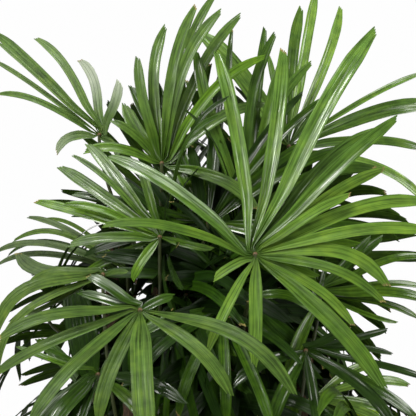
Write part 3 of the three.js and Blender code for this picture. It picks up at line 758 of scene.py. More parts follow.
def blade_sheet(line, sizes, rng):
    """A pleated blade as a thin closed sheet with a ragged tip. The last value says where each face is:
    on the upper side, on the lower side or on the dry tip."""
    reach, width = line.reach, line.width
    ribs = next(count for limit, count in RIBS if width < limit)
    rows = int(np.clip(round(reach / ROW_PITCH), FEWEST_ROWS, MOST_ROWS))
    start = BLADE_START * (HUB_RADIUS / reach)
    stations = np.concatenate([np.linspace(start, TIP_SHARE, rows, endpoint=False), TIP_STATIONS])
    u = np.linspace(-0.5, 0.5, ribs * COLUMNS_PER_RIB + 1)
    wave = np.cos(2 * np.pi * (ribs * (u + 0.5) - 0.5))
    twist = math.radians(rng.uniform(-MOST_TWIST, MOST_TWIST))
    middle, along, across, upward = blade_frame(line, stations, twist)
    wide = blade_widths(width, stations, rng.uniform(*FULL_WIDTH_AT))
    height = pleats(line, stations, u, wave, sizes.rib_depth)
    ends = cut_ends(width, ribs, u, wave, rng)
    late = np.clip((stations - TIP_SHARE) / (1 - TIP_SHARE), 0, 1) ** TIP_CURVE
    points = (middle[:, None] + across[:, None] * (u[None] * wide[:, None])[..., None]
              + upward[:, None] * height[..., None]
              + along[:, None] * (late[:, None] * ends[None])[..., None])
    below = (points - upward[:, None] * sizes.blade_thickness / MM)[1:-1, 1:-1]
    # The lower side shares the upper side's rim
    upper = np.arange(points[..., 0].size).reshape(points.shape[:2])
    lower = upper.copy()
    lower[1:-1, 1:-1] = np.arange(below[..., 0].size).reshape(below.shape[:2]) + upper.size
    faces = np.vstack([quads(upper), quads(lower)[:, ::-1]])
    rising = (stations * reach / PATTERN_UNIT)[:, None]
    maps = np.stack(np.broadcast_arrays(((u + 0.5) * ribs)[None], rising), -1)
    maps = maps + [rng.integers(0, PATTERN_PLACES) * PLACE_PITCH, 0]
    places = np.stack([np.full(np.subtract(upper.shape, 1), side) for side in (UPPER, LOWER)])
    if rng.random() < sizes.dry_tips:
        places[:, -1] = TIP
    return (np.vstack([points.reshape(-1, 3), below.reshape(-1, 3)]), faces,
            np.vstack([maps.reshape(-1, 2), maps[1:-1, 1:-1].reshape(-1, 2)]), places.ravel())


# ---------------------------------------------------------------- materials

NUMBER, COLOUR = "NodeSocketFloat", "NodeSocketColor"


class Wiring:
    """A node tree, with short ways to add nodes and join them."""

    def __init__(self, tree):
        self.tree = tree

    def feed(self, socket, value):
        """Links another node's output to the socket, or sets a plain value there."""
        if isinstance(value, bpy.types.NodeSocket):
            self.tree.links.new(value, socket)
        else:
            socket.default_value = value

    def node(self, kind, inputs=None, **settings):
        made = self.tree.nodes.new(kind)
        for key, value in settings.items():
            setattr(made, key, value)
        for key, value in (inputs or {}).items():
            self.feed(made.inputs[key], value)
        return made

    def maths(self, operation, *values, clamp=False):
        values = dict(enumerate(values))
        return self.node("ShaderNodeMath", values, operation=operation, use_clamp=clamp).outputs[0]

    def plus(self, first, second):
        return self.maths("ADD", first, second)

    def minus(self, first, second):
        return self.maths("SUBTRACT", first, second)

    def times(self, first, second, clamp=False):
        return self.maths("MULTIPLY", first, second, clamp=clamp)

    def rise(self, value, start, gain):
        """0 up to start, then rising by gain, to 1 at most."""
        return self.times(self.minus(value, start), gain, clamp=True)

    def fall(self, value, gain):
        """1 at 0, then falling by gain, to 0 at least."""
        return self.maths("SUBTRACT", 1.0, self.times(value, gain), clamp=True)

    def mix(self, share, first, second, blend="MIX"):
        inputs = {0: share, 6: first, 7: second}
        return self.node("ShaderNodeMix", inputs, data_type="RGBA", blend_type=blend).outputs[2]

    def noise(self, scale, detail, place=None):
        """Noise at a place, or where there is none, at the surface's own."""
        inputs = {} if place is None else {"Vector": place}
        return self.node("ShaderNodeTexNoise", {**inputs, "Scale": scale, "Detail": detail}).outputs[0]

    def point(self, *values):
        return self.node("ShaderNodeCombineXYZ", dict(enumerate(values))).outputs[0]

    def pattern(self):
        """The pattern coordinates: across a blade in ribs or round a stem in turns, and along it."""
        place = self.node("ShaderNodeUVMap", uv_map="pattern").outputs[0]
        return self.node("ShaderNodeSeparateXYZ", {0: place}).outputs[:2]


def effect(name, inputs, outputs):
    """A shader node group with its named sockets: its wiring, what it is given and where it puts out."""
    tree = bpy.data.node_groups.new(name, "ShaderNodeTree")
    for label, default in inputs.items():
        kind = COLOUR if isinstance(default, tuple) else NUMBER
        tree.interface.new_socket(name=label, in_out="INPUT", socket_type=kind).default_value = default
    for label, kind in outputs.items():
        tree.interface.new_socket(name=label, in_out="OUTPUT", socket_type=kind)
    given, out = tree.nodes.new("NodeGroupInput").outputs, tree.nodes.new("NodeGroupOutput").inputs
    return Wiring(tree), given, out


# Blade grain: how sharply a rib ends, where a fold begins and how sharply, and fine veins to a rib
RIB_EDGE = 14.0
FOLD_EDGE = (0.4, 10.0)
VEINS_PER_RIB = 9
# Noise by scale and detail, in long streaks, drawn out across and along a blade, and in broad patches; how
# much of the mottle comes from each, less a constant; and where the patches are warm and by how much
STREAKS, STREAK_ACROSS, STREAK_ALONG = (2.2, 2.0), 1.3, 0.08
PATCHES = (18.0, 2.0)
MOTTLE_STREAK, MOTTLE_PATCH, MOTTLE_LESS = 2.4, 1.2, 0.8
WARM_EDGE = (0.45, 2.2)
WARM_RED, WARM_BLUE = 0.22, 0.25
# Where the painted grey sheen begins along a blade and how fast it thickens, and how much lies between the
# streaks
PAINTED_SHEEN_EDGE = (3.0, 0.18)
PAINTED_SHEEN_BETWEEN = 0.45
# The colour of the painted shade in the folds and of the painted shade by the hub, how much of the blade's
# own they take, and how fast the painted shade by the hub fades
FOLD_SHADOW_COLOUR = (0.01, 0.03, 0.003, 1)
FOLD_SHADE = 0.62
HUB_SHADOW_COLOUR = (0.012, 0.03, 0.003, 1)
HUB_SHADE = 0.5
HUB_FADE = 0.17
# How roughness varies with the streaks, where wax lies on them and how much of it lies between them, and how
# high veins, ribs and streaks stand
STREAK_ROUGH = 0.25
WAX_EDGE = (0.46, 7.0)
WAX_BETWEEN = 0.12
VEIN_HEIGHT, RIB_HEIGHT, STREAK_HEIGHT = 0.05, 0.4, 0.4


def leaf_grain():
    """Ribs, fine veins and long streaks along a blade, wax in streaks, and a painted grey sheen towards its
    tip.
    """
    wire, given, out = effect(
        "leaf_grain",
        {"Colour": (0.1, 0.2, 0.05, 1), "Rib colour": (0.2, 0.35, 0.1, 1), "Rib strength": 0.5,
         "Roughness": 0.4, "Gloss": 0.0, "Hub shade": HUB_SHADE, "Bloom": 0.0,
         "Bloom colour": (0.3, 0.33, 0.26, 1)},
        {"Colour": COLOUR, "Roughness": NUMBER, "Height": NUMBER, "Gloss": NUMBER})
    across, length = wire.pattern()

    # The rib in the middle of each unit across, the fold between two, fine veins, and noise in long streaks
    # and broad patches
    off_rib = wire.maths("ABSOLUTE", wire.minus(wire.maths("FRACT", across), 0.5))
    rib = wire.fall(off_rib, RIB_EDGE)
    # Each fold's share of painted shade, in the valley between two pleats
    fold = wire.rise(off_rib, *FOLD_EDGE)
    veins = wire.maths("SINE", wire.times(across, 2 * math.pi * VEINS_PER_RIB))
    place = wire.point(wire.times(across, STREAK_ACROSS), wire.times(length, STREAK_ALONG))
    streak = wire.noise(*STREAKS, place)
    broad = wire.noise(*PATCHES)

    # Mottled from dark to light, warmer in places
    shade = wire.plus(wire.times(streak, MOTTLE_STREAK), wire.times(broad, MOTTLE_PATCH))
    shade = wire.minus(shade, MOTTLE_LESS)
    warm = wire.rise(broad, *WARM_EDGE)
    red = wire.times(shade, wire.plus(1.0, wire.times(warm, WARM_RED)))
    blue = wire.times(shade, wire.minus(1.0, wire.times(warm, WARM_BLUE)))
    mottle = wire.node("ShaderNodeCombineColor", {0: red, 1: shade, 2: blue}).outputs[0]
    base = wire.mix(1.0, given["Colour"], mottle, "MULTIPLY")
    # Lighter along each rib, on the pleat's ridge: partly the rib's own paler colour, partly a painted
    # highlight
    veined = wire.mix(wire.times(rib, given["Rib strength"]), base, given["Rib colour"])

    # Painted grey sheen some way out, thicker in the streaks, then painted shade in the folds and by the hub
    sheen_share = wire.times(wire.rise(length, *PAINTED_SHEEN_EDGE), given["Bloom"])
    sheen_share = wire.times(sheen_share, wire.plus(PAINTED_SHEEN_BETWEEN, streak), clamp=True)
    sheened = wire.mix(sheen_share, veined, given["Bloom colour"])
    fold_shaded = wire.mix(wire.times(fold, FOLD_SHADE), sheened, FOLD_SHADOW_COLOUR)
    # Painted shade darkens each blade near its hub, where the blades crowd and shadow one another
    hub_shadow = wire.times(wire.fall(length, HUB_FADE), given["Hub shade"])
    wire.feed(out["Colour"], wire.mix(hub_shadow, fold_shaded, HUB_SHADOW_COLOUR))

    # Rougher and waxier in the streaks, and raised at the ribs
    rougher = wire.times(wire.minus(streak, 0.5), STREAK_ROUGH)
    wire.feed(out["Roughness"], wire.plus(given["Roughness"], rougher))
    waxed = wire.plus(wire.times(wire.rise(streak, *WAX_EDGE), 1 - WAX_BETWEEN), WAX_BETWEEN)
    wire.feed(out["Gloss"], wire.times(waxed, given["Gloss"]))
    height = wire.plus(wire.times(veins, VEIN_HEIGHT), wire.times(rib, RIB_HEIGHT))
    wire.feed(out["Height"], wire.plus(height, wire.times(streak, STREAK_HEIGHT)))


# Bark grain: the detail of its fibre, its patches by scale and detail, and where both together are light
FIBRE_DETAIL = 6.0
BARK_PATCHES = (40.0, 3.0)
LIGHT_EDGE = (0.75, 2.0)


def bark_grain():
    """Mottled colour with fine crosswise fibre."""
    wire, given, out = effect(
        "bark_grain",
        {"Colour": (0.1, 0.06, 0.03, 1), "Light": (0.2, 0.14, 0.08, 1), "Scale": 60.0, "Stretch": 0.2},
        {"Colour": COLOUR, "Height": NUMBER})
    around, length = wire.pattern()
    angle = wire.times(around, 2 * math.pi)
    place = wire.point(wire.maths("COSINE", angle), wire.maths("SINE", angle),
                       wire.times(length, given["Stretch"]))
    fine = wire.noise(given["Scale"], FIBRE_DETAIL, place)
    broad = wire.noise(*BARK_PATCHES)
    light = wire.rise(wire.plus(fine, broad), *LIGHT_EDGE)
    wire.feed(out["Colour"], wire.mix(light, given["Colour"], given["Light"]))
    wire.feed(out["Height"], fine)


def principled(name, **constants):
    """A material with these values on its shader: the material, its wiring and the shader's sockets."""
    material = bpy.data.materials.new(name)
    material.use_nodes = True
    sockets = material.node_tree.nodes["Principled BSDF"].inputs
    for key, value in constants.items():
        sockets[key.replace("_", " ")].default_value = value
    return material, Wiring(material.node_tree), sockets


def rgba(colour):
    return (*colour[:3], 1.0)


def dress(wire, sockets, group, values, relief, depth):
    """Gives a shader a grain's colour and relief, and returns the grain's outputs."""
    grain = wire.node("ShaderNodeGroup", node_tree=bpy.data.node_groups[group])
    for key, value in values.items():
        grain.inputs[key].default_value = value
    bump = wire.node("ShaderNodeBump", {"Height": grain.outputs["Height"], "Strength": relief,
                                        "Distance": depth})
    wire.feed(sockets["Base Color"], grain.outputs["Colour"])
    wire.feed(sockets["Normal"], bump.outputs[0])
    return grain.outputs


# Relief: its strength on a blade, and its depth on blades and bark, in metres
LEAF_RELIEF = 0.2
LEAF_DEPTH, BARK_DEPTH = 0.0006, 0.001


def leaf_finish(name, colour, rib, roughness, gloss=0.0, hub_shade=HUB_SHADE):
    """A blade's face: gloss is how thick its clear waxy coat is."""
    material, wire, sockets = principled(name, Specular_IOR_Level=0.08, Coat_Roughness=0.15)
    material.diffuse_color = rgba(colour)
    values = {"Colour": rgba(colour), "Rib colour": rgba(rib), "Roughness": roughness, "Gloss": gloss,
              "Hub shade": hub_shade, "Bloom": PAINTED_SHEEN.get(name, 0.0)}
    grain = dress(wire, sockets, "leaf_grain", values, LEAF_RELIEF, LEAF_DEPTH)
    wire.feed(sockets["Roughness"], grain["Roughness"])
    if gloss:
        wire.feed(sockets["Coat Weight"], grain["Gloss"])


def bark_finish(name, colour, lighter, roughness, scale, stretch, relief):
    material, wire, sockets = principled(name, Roughness=roughness, Specular_IOR_Level=0.3)
    material.diffuse_color = rgba(colour)
    values = {"Colour": rgba(colour), "Light": rgba([c * lighter for c in colour]), "Scale": scale,
              "Stretch": stretch}
    dress(wire, sockets, "bark_grain", values, relief, BARK_DEPTH)


# Blade looks: the upper side's shades from dark to light, dealt out by blade, its roughness and its gloss
BLADE_LOOKS = {
    "leaf_fresh": ([(0.026, 0.060, 0.006), (0.044, 0.095, 0.011), (0.063, 0.128, 0.018)], 0.42, 1.0),
    "leaf_bright": ([(0.042, 0.088, 0.012), (0.068, 0.134, 0.020), (0.096, 0.178, 0.028)], 0.45, 1.0),
    "leaf_soft": ([(0.038, 0.086, 0.004), (0.060, 0.128, 0.008), (0.084, 0.168, 0.012)], 0.5, 0.7),
    "leaf_satin": ([(0.023, 0.053, 0.004), (0.044, 0.092, 0.009), (0.069, 0.135, 0.015)], 0.52, 0.06),
    "leaf_even": ([(0.041, 0.080, 0.012), (0.050, 0.096, 0.015), (0.060, 0.113, 0.018)], 0.52, 0.08),
    "leaf_dull": ([(0.020, 0.041, 0.008), (0.034, 0.064, 0.012), (0.054, 0.096, 0.018)], 0.55, 0.1),
    # Partly the darker green of older leaves, partly painted shade of the crown's interior
    "leaf_deep": ([(0.009, 0.026, 0.001), (0.018, 0.048, 0.001), (0.038, 0.087, 0.003)], 0.46, 1.0),
    # Painted shade: leaves low in the crown, darkened where the leaves above shade them
    "leaf_shade": ([(0.006, 0.020, 0.001), (0.012, 0.036, 0.001), (0.025, 0.064, 0.002)], 0.5, 0.22),
    # Painted shade: the darkest look, for the leaves within the crown
    "leaf_inner": ([(0.004, 0.013, 0.001), (0.007, 0.021, 0.001), (0.012, 0.034, 0.001)], 0.5, 0.05),
    "leaf_grey_green": ([(0.052, 0.100, 0.018), (0.066, 0.120, 0.025), (0.070, 0.120, 0.032)], 0.55, 0.08),
    "leaf_young": ([(0.120, 0.230, 0.012), (0.150, 0.270, 0.016), (0.180, 0.300, 0.020)], 0.42, 0.4),
}
UNDER_SHARE = 0.9
UNDER_PALER = (0.010, 0.016, 0.004)
UNDER_ROUGHNESS = 0.6
TIP_ROUGHNESS = 0.7
# A rib is lighter than its blade by this share, and paler by this much, above and below
# Partly a rib's own paler colour, partly a painted highlight on each pleat's ridge
RIB_LIGHTER = 1.5
RIB_PALER = 0.01
UNDER_RIB_PALER = 0.03

# Looks with less painted shade by the hub than the others
HUB_SHADES = {"leaf_even": 0.15}

# How thick the painted grey sheen lies towards a blade's tip, by finish
PAINTED_SHEEN = {
    "leaf_grey_green_0": 0.03,
    "leaf_grey_green_1": 0.08,
    "leaf_grey_green_2": 0.8,
    "leaf_grey_green_under": 0.2,
    "leaf_soft_0": 0.06,
    "leaf_soft_2": 0.08,
    "leaf_dull_1": 0.10,
}

# Looks whose short blades have a finish of their own: shorter than this, in millimetres, and that finish
SHORT_BLADES = {
    # A grey-green leaf's short blades wear its thickest painted grey sheen
    "leaf_grey_green": (130, "leaf_grey_green_2"),
    "leaf_even": (90, "leaf_deep_1"),
}

# Blades that turn this far from the uppermost hang, in degrees, and have little wax on a glossy leaf
HANGS_FROM = 53.5
HANGING_LOOKS = {"leaf_fresh": "leaf_satin"}

# Leaves that look otherwise than their slot's name says
LOOKS = {
    "leaf_front_low": "leaf_even",
    "leaf_left": "leaf_soft",
    "leaf_upper_middle": "leaf_soft",
    "leaf_low_right": "leaf_bright",
    "leaf_upper_right": "leaf_bright",
    "leaf_left_low": "leaf_dull",
    "leaf_left_back": "leaf_dull",
    # Low in the crown: a darker look, partly as painted shade
    "leaf_low_left": "leaf_deep",
    "leaf_young_right": "leaf_young",
    # Leaves low in the crown, darkened as painted shade
    "leaf_middle_low": "leaf_shade",
    "leaf_young_left": "leaf_shade",
    "leaf_9": "leaf_shade",
    "leaf_11": "leaf_shade",
    "leaf_19": "leaf_shade",
    "leaf_22": "leaf_shade",
    "leaf_27": "leaf_shade",
}

# Woody finishes: how much lighter the mottle is, roughness, the grain's scale and stretch, and its relief
BARKS = {
    "hub": (1.4, 0.5, 6.0, 0.3, 0.3),
    "petiole": (1.5, 0.42, 3.0, 0.1, 0.2),
    "cane_sheath": (2.6, 0.85, 7.0, 0.6, 0.8),
    "cane_bare": (1.6, 0.55, 4.0, 0.3, 0.4),
    "fibre": (1.8, 0.8, 5.0, 0.5, 0.2),
    "root_crown": (1.9, 0.9, 9.0, 0.8, 0.9),
}


def make_finishes(colours):
    """Each blade look in three shades and an underside, the dry tip, and the woody finishes."""
    leaf_grain()
    bark_grain()
    for look, (shades, roughness, gloss) in BLADE_LOOKS.items():
        hub_shade = HUB_SHADES.get(look, HUB_SHADE)
        for i, shade in enumerate(shades):
            tint = [c * f for c, f in zip(shade, colours.leaf_tint)]
            rib = [min(1, c * RIB_LIGHTER + RIB_PALER) for c in tint]
            leaf_finish(f"{look}_{i}", tint, rib, roughness, gloss, hub_shade)
        under = [c * UNDER_SHARE + pale for c, pale in zip(shades[1], UNDER_PALER)]
        rib = [c + UNDER_RIB_PALER for c in under]
        leaf_finish(f"{look}_under", under, rib, UNDER_ROUGHNESS, hub_shade=hub_shade)
    leaf_finish("dry_tip", colours.dry_tip, colours.dry_tip, TIP_ROUGHNESS)
    for name, looks in BARKS.items():
        bark_finish(name, getattr(colours, name), *looks)


# ---------------------------------------------------------------- pieces

# A leaf's finishes in order: three shades, these, three shades for hanging blades, and that of short ones
UNDER_SLOT, TIP_SLOT, HUB_SLOT, PETIOLE_SLOT, HANGING_SLOT, SHORT_SLOT = 3, 4, 5, 6, 7, 10
SHADES = 3


def blade_slot(blade, reach, shade, look):
    """The finish of a blade's upper side. Only a grey-green leaf's short blades have its thickest painted
    grey sheen.
    """
    short, _ = SHORT_BLADES.get(look, (0, None))
    if reach < short:
        return SHORT_SLOT
    if look == "leaf_grey_green":
        shade = min(shade, SHADES - 2)
    return shade + HANGING_SLOT if abs(blade["bearing"]) > HANGS_FROM else shade


def grow_leaf(skin, leaf, blades, stem, sizes, rng, look):
    """Adds a leaf to the skin: its blades, each in one of three shades, its hub and its petiole."""
    usual = rng.integers(0, SHADES)
    for blade, nudge in blades:
        for line in finer(leaf, blade, nudge, rng):
            points, faces, maps, places = blade_sheet(line, sizes, rng)
            shade = int(np.clip(usual + rng.integers(-1, 2), 0, SHADES - 1))
            slot = blade_slot(blade, line.reach, shade, look)
            skin.add(points, faces, maps, np.array([slot, UNDER_SLOT, TIP_SLOT])[places])
    normal, _, _ = leaf_axes(leaf["turn"], leaf["tilt"])
    heights, radii = np.array(HUB_PROFILE).T
    skin.add(*tube(leaf["hub"] + heights[:, None] * normal, radii, HUB_SIDES), HUB_SLOT)
    t = np.linspace(0, 1, STEM_ROWS)
    radii = petiole_radius(t) * (1 + FOOT_SWELLS * (1 - smoothstep(t, 0, FOOT_ENDS)))
    skin.add(*tube(stem.point(t), radii, STEM_SIDES), PETIOLE_SLOT)


def leaf_finishes(look):
    """The finishes of a leaf with this look, in the order of the slots above."""
    hanging = HANGING_LOOKS.get(look, look)
    _, short = SHORT_BLADES.get(look, (0, f"{look}_0"))
    return [*(f"{look}_{i}" for i in range(SHADES)), f"{look}_under", "dry_tip", "hub", "petiole",
            *(f"{hanging}_{i}" for i in range(SHADES)), short]


def leaf_piece(leaf, sizes, index):
    name = leaf["name"]
    rng = np.random.default_rng(DETAIL_SEED + index)
    corners = node_points(name)
    look = LOOKS.get(name, NODE_SLOTS[name])
    skin = Skin()
    grow_leaf(skin, leaf, settled_blades(leaf, corners), settled_stem(leaf, corners), sizes, rng, look)
    skin.piece(f"{name}_blades", leaf_finishes(look), [name])


def inner_piece(cane, leaves, sizes):
    rng = np.random.default_rng(DETAIL_SEED + INNER_DRAWS + sorted(CANES).index(cane))
    skin = Skin()
    for leaf in leaves:
        blades = [(blade, NUDGES[0]) for blade in leaf["blades"]]
        # Inner leaves wear the darkest look, as painted shade of the crown's interior
        grow_leaf(skin, leaf, blades, StemLine(leaf, 0, INNER_FOOT), sizes, rng, "leaf_inner")
    skin.piece(f"inner_leaves_{cane}", leaf_finishes("leaf_inner"), [])


def cane_radii(height, t, angles, leaves, rng):
    """A cane's radius by row and side, with ring scars, sheaths and fibre."""
    radius = np.repeat(cane_radius(t)[:, None], len(angles), 1)
    wrap = wrapped(t)[:, None]
    # Bare below: ring scars where old leaves grew
    for scar in np.sort(rng.uniform(height[0], height[-1] * SCARS_TO, SCARS)):
        radius += (1 - wrap) * SCAR_RISE * np.exp(-((height - scar) / SCAR_WIDTH) ** 2)[:, None]
    # Wrapped above: each leaf's own sheath, and those of fallen leaves, a step proud of the one above
    old = rng.uniform(height[-1] * OLD_SHEATHS_FROM, height[-1], OLD_SHEATHS)
    mouths = [(z, rng.uniform(0, 2 * np.pi)) for z in old]
    for leaf in leaves:
        stem = StemLine(leaf, 0, 0)
        mouths.append((stem.point(0)[2] + MOUTH_OVER_FOOT, math.atan2(-stem.out[1], -stem.out[0])))
    for mouth, side in mouths:
        below = mouth + MOUTH_SLANT * np.cos(angles - side)[None] - height[:, None]
        fade = np.where(below > 0, np.exp(-below / FADES_DOWN), np.exp(below / FADES_UP))
        radius += wrap * MOUTH_RISE * fade
    turned = angles[None] * WEAVE_TURNS
    weave = np.sin(turned + height[:, None] * WEAVE_CLIMB) + np.sin(turned - height[:, None] * WEAVE_FALL)
    return radius + wrap * (WEAVE * weave + rng.normal(0, FIBRE_ROUGH, radius.shape))


def strand(line, rng):
    """The middle line of a strand of fibre, which winds round the cane or stands off it, frayed."""
    start = rng.uniform(*STRAND_STARTS)
    length = rng.uniform(*STRAND_LENGTHS)
    s = np.linspace(start, min(1, start + length), STRAND_ROWS)
    turn = rng.uniform(0, 2 * np.pi)
    turn = turn + rng.choice([-1, 1]) * rng.uniform(*STRAND_WINDS) * (s - start) / length
    lift = cane_radius(s) + STRAND_OVER + STRAND_LIFT * rng.random() * np.sin(np.pi * (s - start) / length)
    if rng.random() < FRAYED:
        lift = cane_radius(s) + FRAYED_OVER + rng.uniform(*FRAYED_LIFT) * ((s - start) / length) ** 2
    across, other = cross_axes(line.tangent(s))
    out = np.cos(turn)[:, None] * across + np.sin(turn)[:, None] * other
    return line.point(s) + lift[:, None] * out


def cane_piece(name, leaves):
    line = CaneLine(name)
    rng = np.random.default_rng(DETAIL_SEED + CANE_DRAWS + sorted(CANES).index(name))
    t = np.linspace(0, 1, CANE_ROWS)
    points = line.point(t)
    height = points[:, 2]
    radii = cane_radii(height, t, turns(CANE_SIDES), leaves, rng)
    finishes = ["cane_sheath", "cane_bare", "fibre"]
    skin = Skin()
    points, faces, maps = tube(points, radii, CANE_SIDES)
    middle = maps[faces[:, 0], 1] * PATTERN_UNIT / (height[-1] - height[0])
    skin.add(points, faces, maps, np.where(middle > WRAPPED_FROM, 0, 1))
    for _ in range(STRANDS):
        skin.add(*tube(strand(line, rng), np.linspace(*STRAND_RADII, STRAND_ROWS), STRAND_SIDES), 2)
    node = f"cane_{name}"
    skin.piece(f"{node}_sheathed", finishes, [node], crease=60)


def lobe_radius(angles):
    """The root crown's outline: a round mound with a lobe out to each cane."""
    reach = np.full(angles.shape, float(MOUND_RADIUS))
    for (x, y), _ in CANES.values():
        off = angles - math.atan2(y, x)
        off = np.arctan2(np.sin(off), np.cos(off))
        reach = np.maximum(reach, (math.hypot(x, y) + FLARE_RADIUS) * np.exp(-((off / LOBE_WIDTH) ** 2)))
    return reach


def mound(rng):
    """The root crown's mound, rough with fibre: its points, faces and pattern coordinates."""
    angles = turns(MOUND_SIDES)
    shares, heights = (column[:, None] for column in np.array(MOUND).T)
    rough = rng.normal(0, MOUND_ROUGH, (len(MOUND), MOUND_SIDES))
    rough[0] = 0
    grows = np.linspace(RIPPLE_AT_FOOT, 1, len(MOUND))[:, None]
    ripple = RIPPLE_RISE * np.sin(angles * RIPPLES)[None] * grows
    radius = shares * lobe_radius(angles)[None] - MOUND_WITHIN - np.abs(rough)
    z = heights + np.where(heights > 0, rough * ROUGH_RISE + ripple, 0)
    rings = np.stack([radius * np.cos(angles), radius * np.sin(angles), z], -1)
    points = np.vstack([rings.reshape(-1, 3), [[0, 0, 0]], [[0, 0, MOUND_MIDDLE]]])
    x, y = points[:, 0], points[:, 1]
    maps = np.stack([np.arctan2(y, x) / (2 * np.pi), np.hypot(x, y) / PATTERN_UNIT], -1)
    return points, ring_faces(len(MOUND), MOUND_SIDES), maps


def collar(x, y, rng):
    """The ridged collar that runs up to a cane."""
    t = np.linspace(0, 1, COLLAR_ROWS)
    rising = COLLAR_FROM + (CROWN_HEIGHT - COLLAR_FROM) * t
    line = np.stack([np.full(COLLAR_ROWS, x), np.full(COLLAR_ROWS, y), rising], -1).astype(float)
    flare = COLLAR_FLARE * FLARE_RADIUS
    profile = flare + (BARE_RADIUS + COLLAR_OVER_CANE - flare) * t ** COLLAR_CURVE
    ridges = RIDGE_RISE * np.sin(turns(COLLAR_SIDES) * COLLAR_RIDGES + rng.uniform(*RIDGES_TURN))
    ridged = profile[:, None] + ridges[None] * (1 - t)[:, None]
    ridged += rng.normal(0, COLLAR_ROUGH, ridged.shape)
    return tube(line, ridged, COLLAR_SIDES)


def crown_piece():
    rng = np.random.default_rng(DETAIL_SEED + CROWN_DRAWS)
    skin = Skin()
    skin.add(*mound(rng), 0)
    for (x, y), _ in CANES.values():
        skin.add(*collar(x, y, rng), 0)
    skin.piece("root_crown_fibrous", ["root_crown"], ["root_crown"], crease=50)


# ---------------------------------------------------------------- settings, operators and panel


class PalmSizes(bpy.types.PropertyGroup):
    """Sizes of the fine detail."""

    blade_thickness: bpy.props.FloatProperty(
        name="Blade thickness", description="Thickness of a leaf blade", default=0.0005, min=0.0002,
        max=0.002, unit="LENGTH", precision=5)
    rib_depth: bpy.props.FloatProperty(
        name="Rib depth", description="Half the height of a pleat on a blade 20 mm wide", default=0.00032,
        min=0, max=0.003, unit="LENGTH", precision=5)
    dry_tips: bpy.props.FloatProperty(
        name="Dry tips", description="Share of the blades whose tip is dry", default=0.25, min=0, max=1,
        subtype="FACTOR")


def colour_property(name, description, default):
    return bpy.props.FloatVectorProperty(
        name=name, description=description, default=default, subtype="COLOR", size=3, min=0, max=4)


class PalmColours(bpy.types.PropertyGroup):
    """Colours of the finishes."""

    leaf_tint: colour_property("Leaf tint", "Multiplies every blade shade", (1.0, 1.0, 1.0))
    dry_tip: colour_property("Dry tip", "Dried tissue at a blade's tip", (0.16, 0.14, 0.05))
    hub: colour_property("Hub", "The knob that the blades spring from", (0.075, 0.045, 0.018))
    petiole: colour_property("Petiole", "Leaf stalks", (0.026, 0.034, 0.010))
    cane_sheath: colour_property("Sheath", "Fibrous sheaths on the canes", (0.030, 0.018, 0.010))
    cane_bare: colour_property("Bare cane", "Canes below their sheaths", (0.11, 0.10, 0.04))
    fibre: colour_property("Fibre", "Loose sheath strands", (0.085, 0.045, 0.022))
    root_crown: colour_property("Root crown", "Old cane bases at the ground", (0.10, 0.065, 0.04))


def power_property(name, description, default):
    return bpy.props.FloatProperty(
        name=name, description=description, default=default, min=0, max=1000, unit="POWER")


class PalmStage(bpy.types.PropertyGroup):
    """Light and floor."""

    floor_radius: bpy.props.FloatProperty(
        name="Floor radius", description="Radius of the pale floor", default=2.6, min=1, max=10,
        unit="LENGTH")
    key_power: power_property("Key light", "Power of the large light at the upper left", 97)
    strip_power: power_property("Strip light", "Power of the narrow light above, which draws the gloss", 42)
    low_power: power_property("Low light", "Power of the small light beside the camera", 4)
    fill_power: power_property("Fill light", "Power of the light at the right", 54)
    back_power: power_property("Back light", "Power of the light behind", 50)
    sky: bpy.props.FloatProperty(
        name="Surround", description="Brightness of the white surround", default=0.14, min=0, max=3)


class LADYPALM_OT_finishes(bpy.types.Operator):
    """Make the materials that the pieces wear"""

    bl_idname = "lady_palm.finishes"
    bl_label = "Finishes"

    def execute(self, context):
        make_finishes(context.scene.palm_colours)
        return {"FINISHED"}


class LADYPALM_OT_root_crown(bpy.types.Operator):
    """Build the root crown over its solid"""

    bl_idname = "lady_palm.root_crown"
    bl_label = "Root crown"

    def execute(self, context):
        crown_piece()
        return {"FINISHED"}


class LADYPALM_OT_canes(bpy.types.Operator):
    """Build the canes with their sheaths, ring scars and fibre"""

    bl_idname = "lady_palm.canes"
    bl_label = "Canes"

    def execute(self, context):
        within = inner_leaves()
        leaves = outer_leaves()
        for name in CANES:
            own = [leaf for leaf in leaves if leaf["cane"] == name]
            cane_piece(name, own + within[name])
        return {"FINISHED"}


class LADYPALM_OT_leaves(bpy.types.Operator):
    """Build every fan leaf: pleated blades, hub and petiole"""

    bl_idname = "lady_palm.leaves"
    bl_label = "Leaves"

    def execute(self, context):
        sizes = context.scene.palm_sizes
        for index, leaf in enumerate(outer_leaves()):
            leaf_piece(leaf, sizes, index)
        for cane, leaves in inner_leaves().items():
            if leaves:
                inner_piece(cane, leaves, sizes)
        return {"FINISHED"}


# Stage, in metres and degrees: the floor, the surround, the area lights by place, width and height with the
# point that they aim at, and the camera with the height it looks at and half the width it sees there
FLOOR_SIDES = 96
FLOOR_DROP = 0.0005
FLOOR_COLOUR = (0.72, 0.72, 0.71, 1)
SKY_COLOUR = (0.97, 0.985, 1.0, 1)
BACKGROUND = 0.99
LIGHT_COLOUR = (1.0, 0.99, 0.97)
LIGHTS_AIM = (0, 0, 0.9)
LIGHTS = {
    "key": ((-1.3, -1.7, 2.7), 2.4, 2.4),
    "strip": ((-0.92, -1.31, 2.95), 0.35, 1.2),
    "low": ((-0.7, -2.4, 1.75), 0.3, 0.7),
    "fill": ((2.1, -0.9, 1.7), 1.4, 1.4),
    "back": ((-0.9, 2.3, 2.3), 2.0, 2.0),
}
CAMERA_DISTANCE = 2.3
CAMERA_DOWN = 5.0
CAMERA_TARGET = 0.947
HALF_VIEW = 0.28288
SENSOR = 36


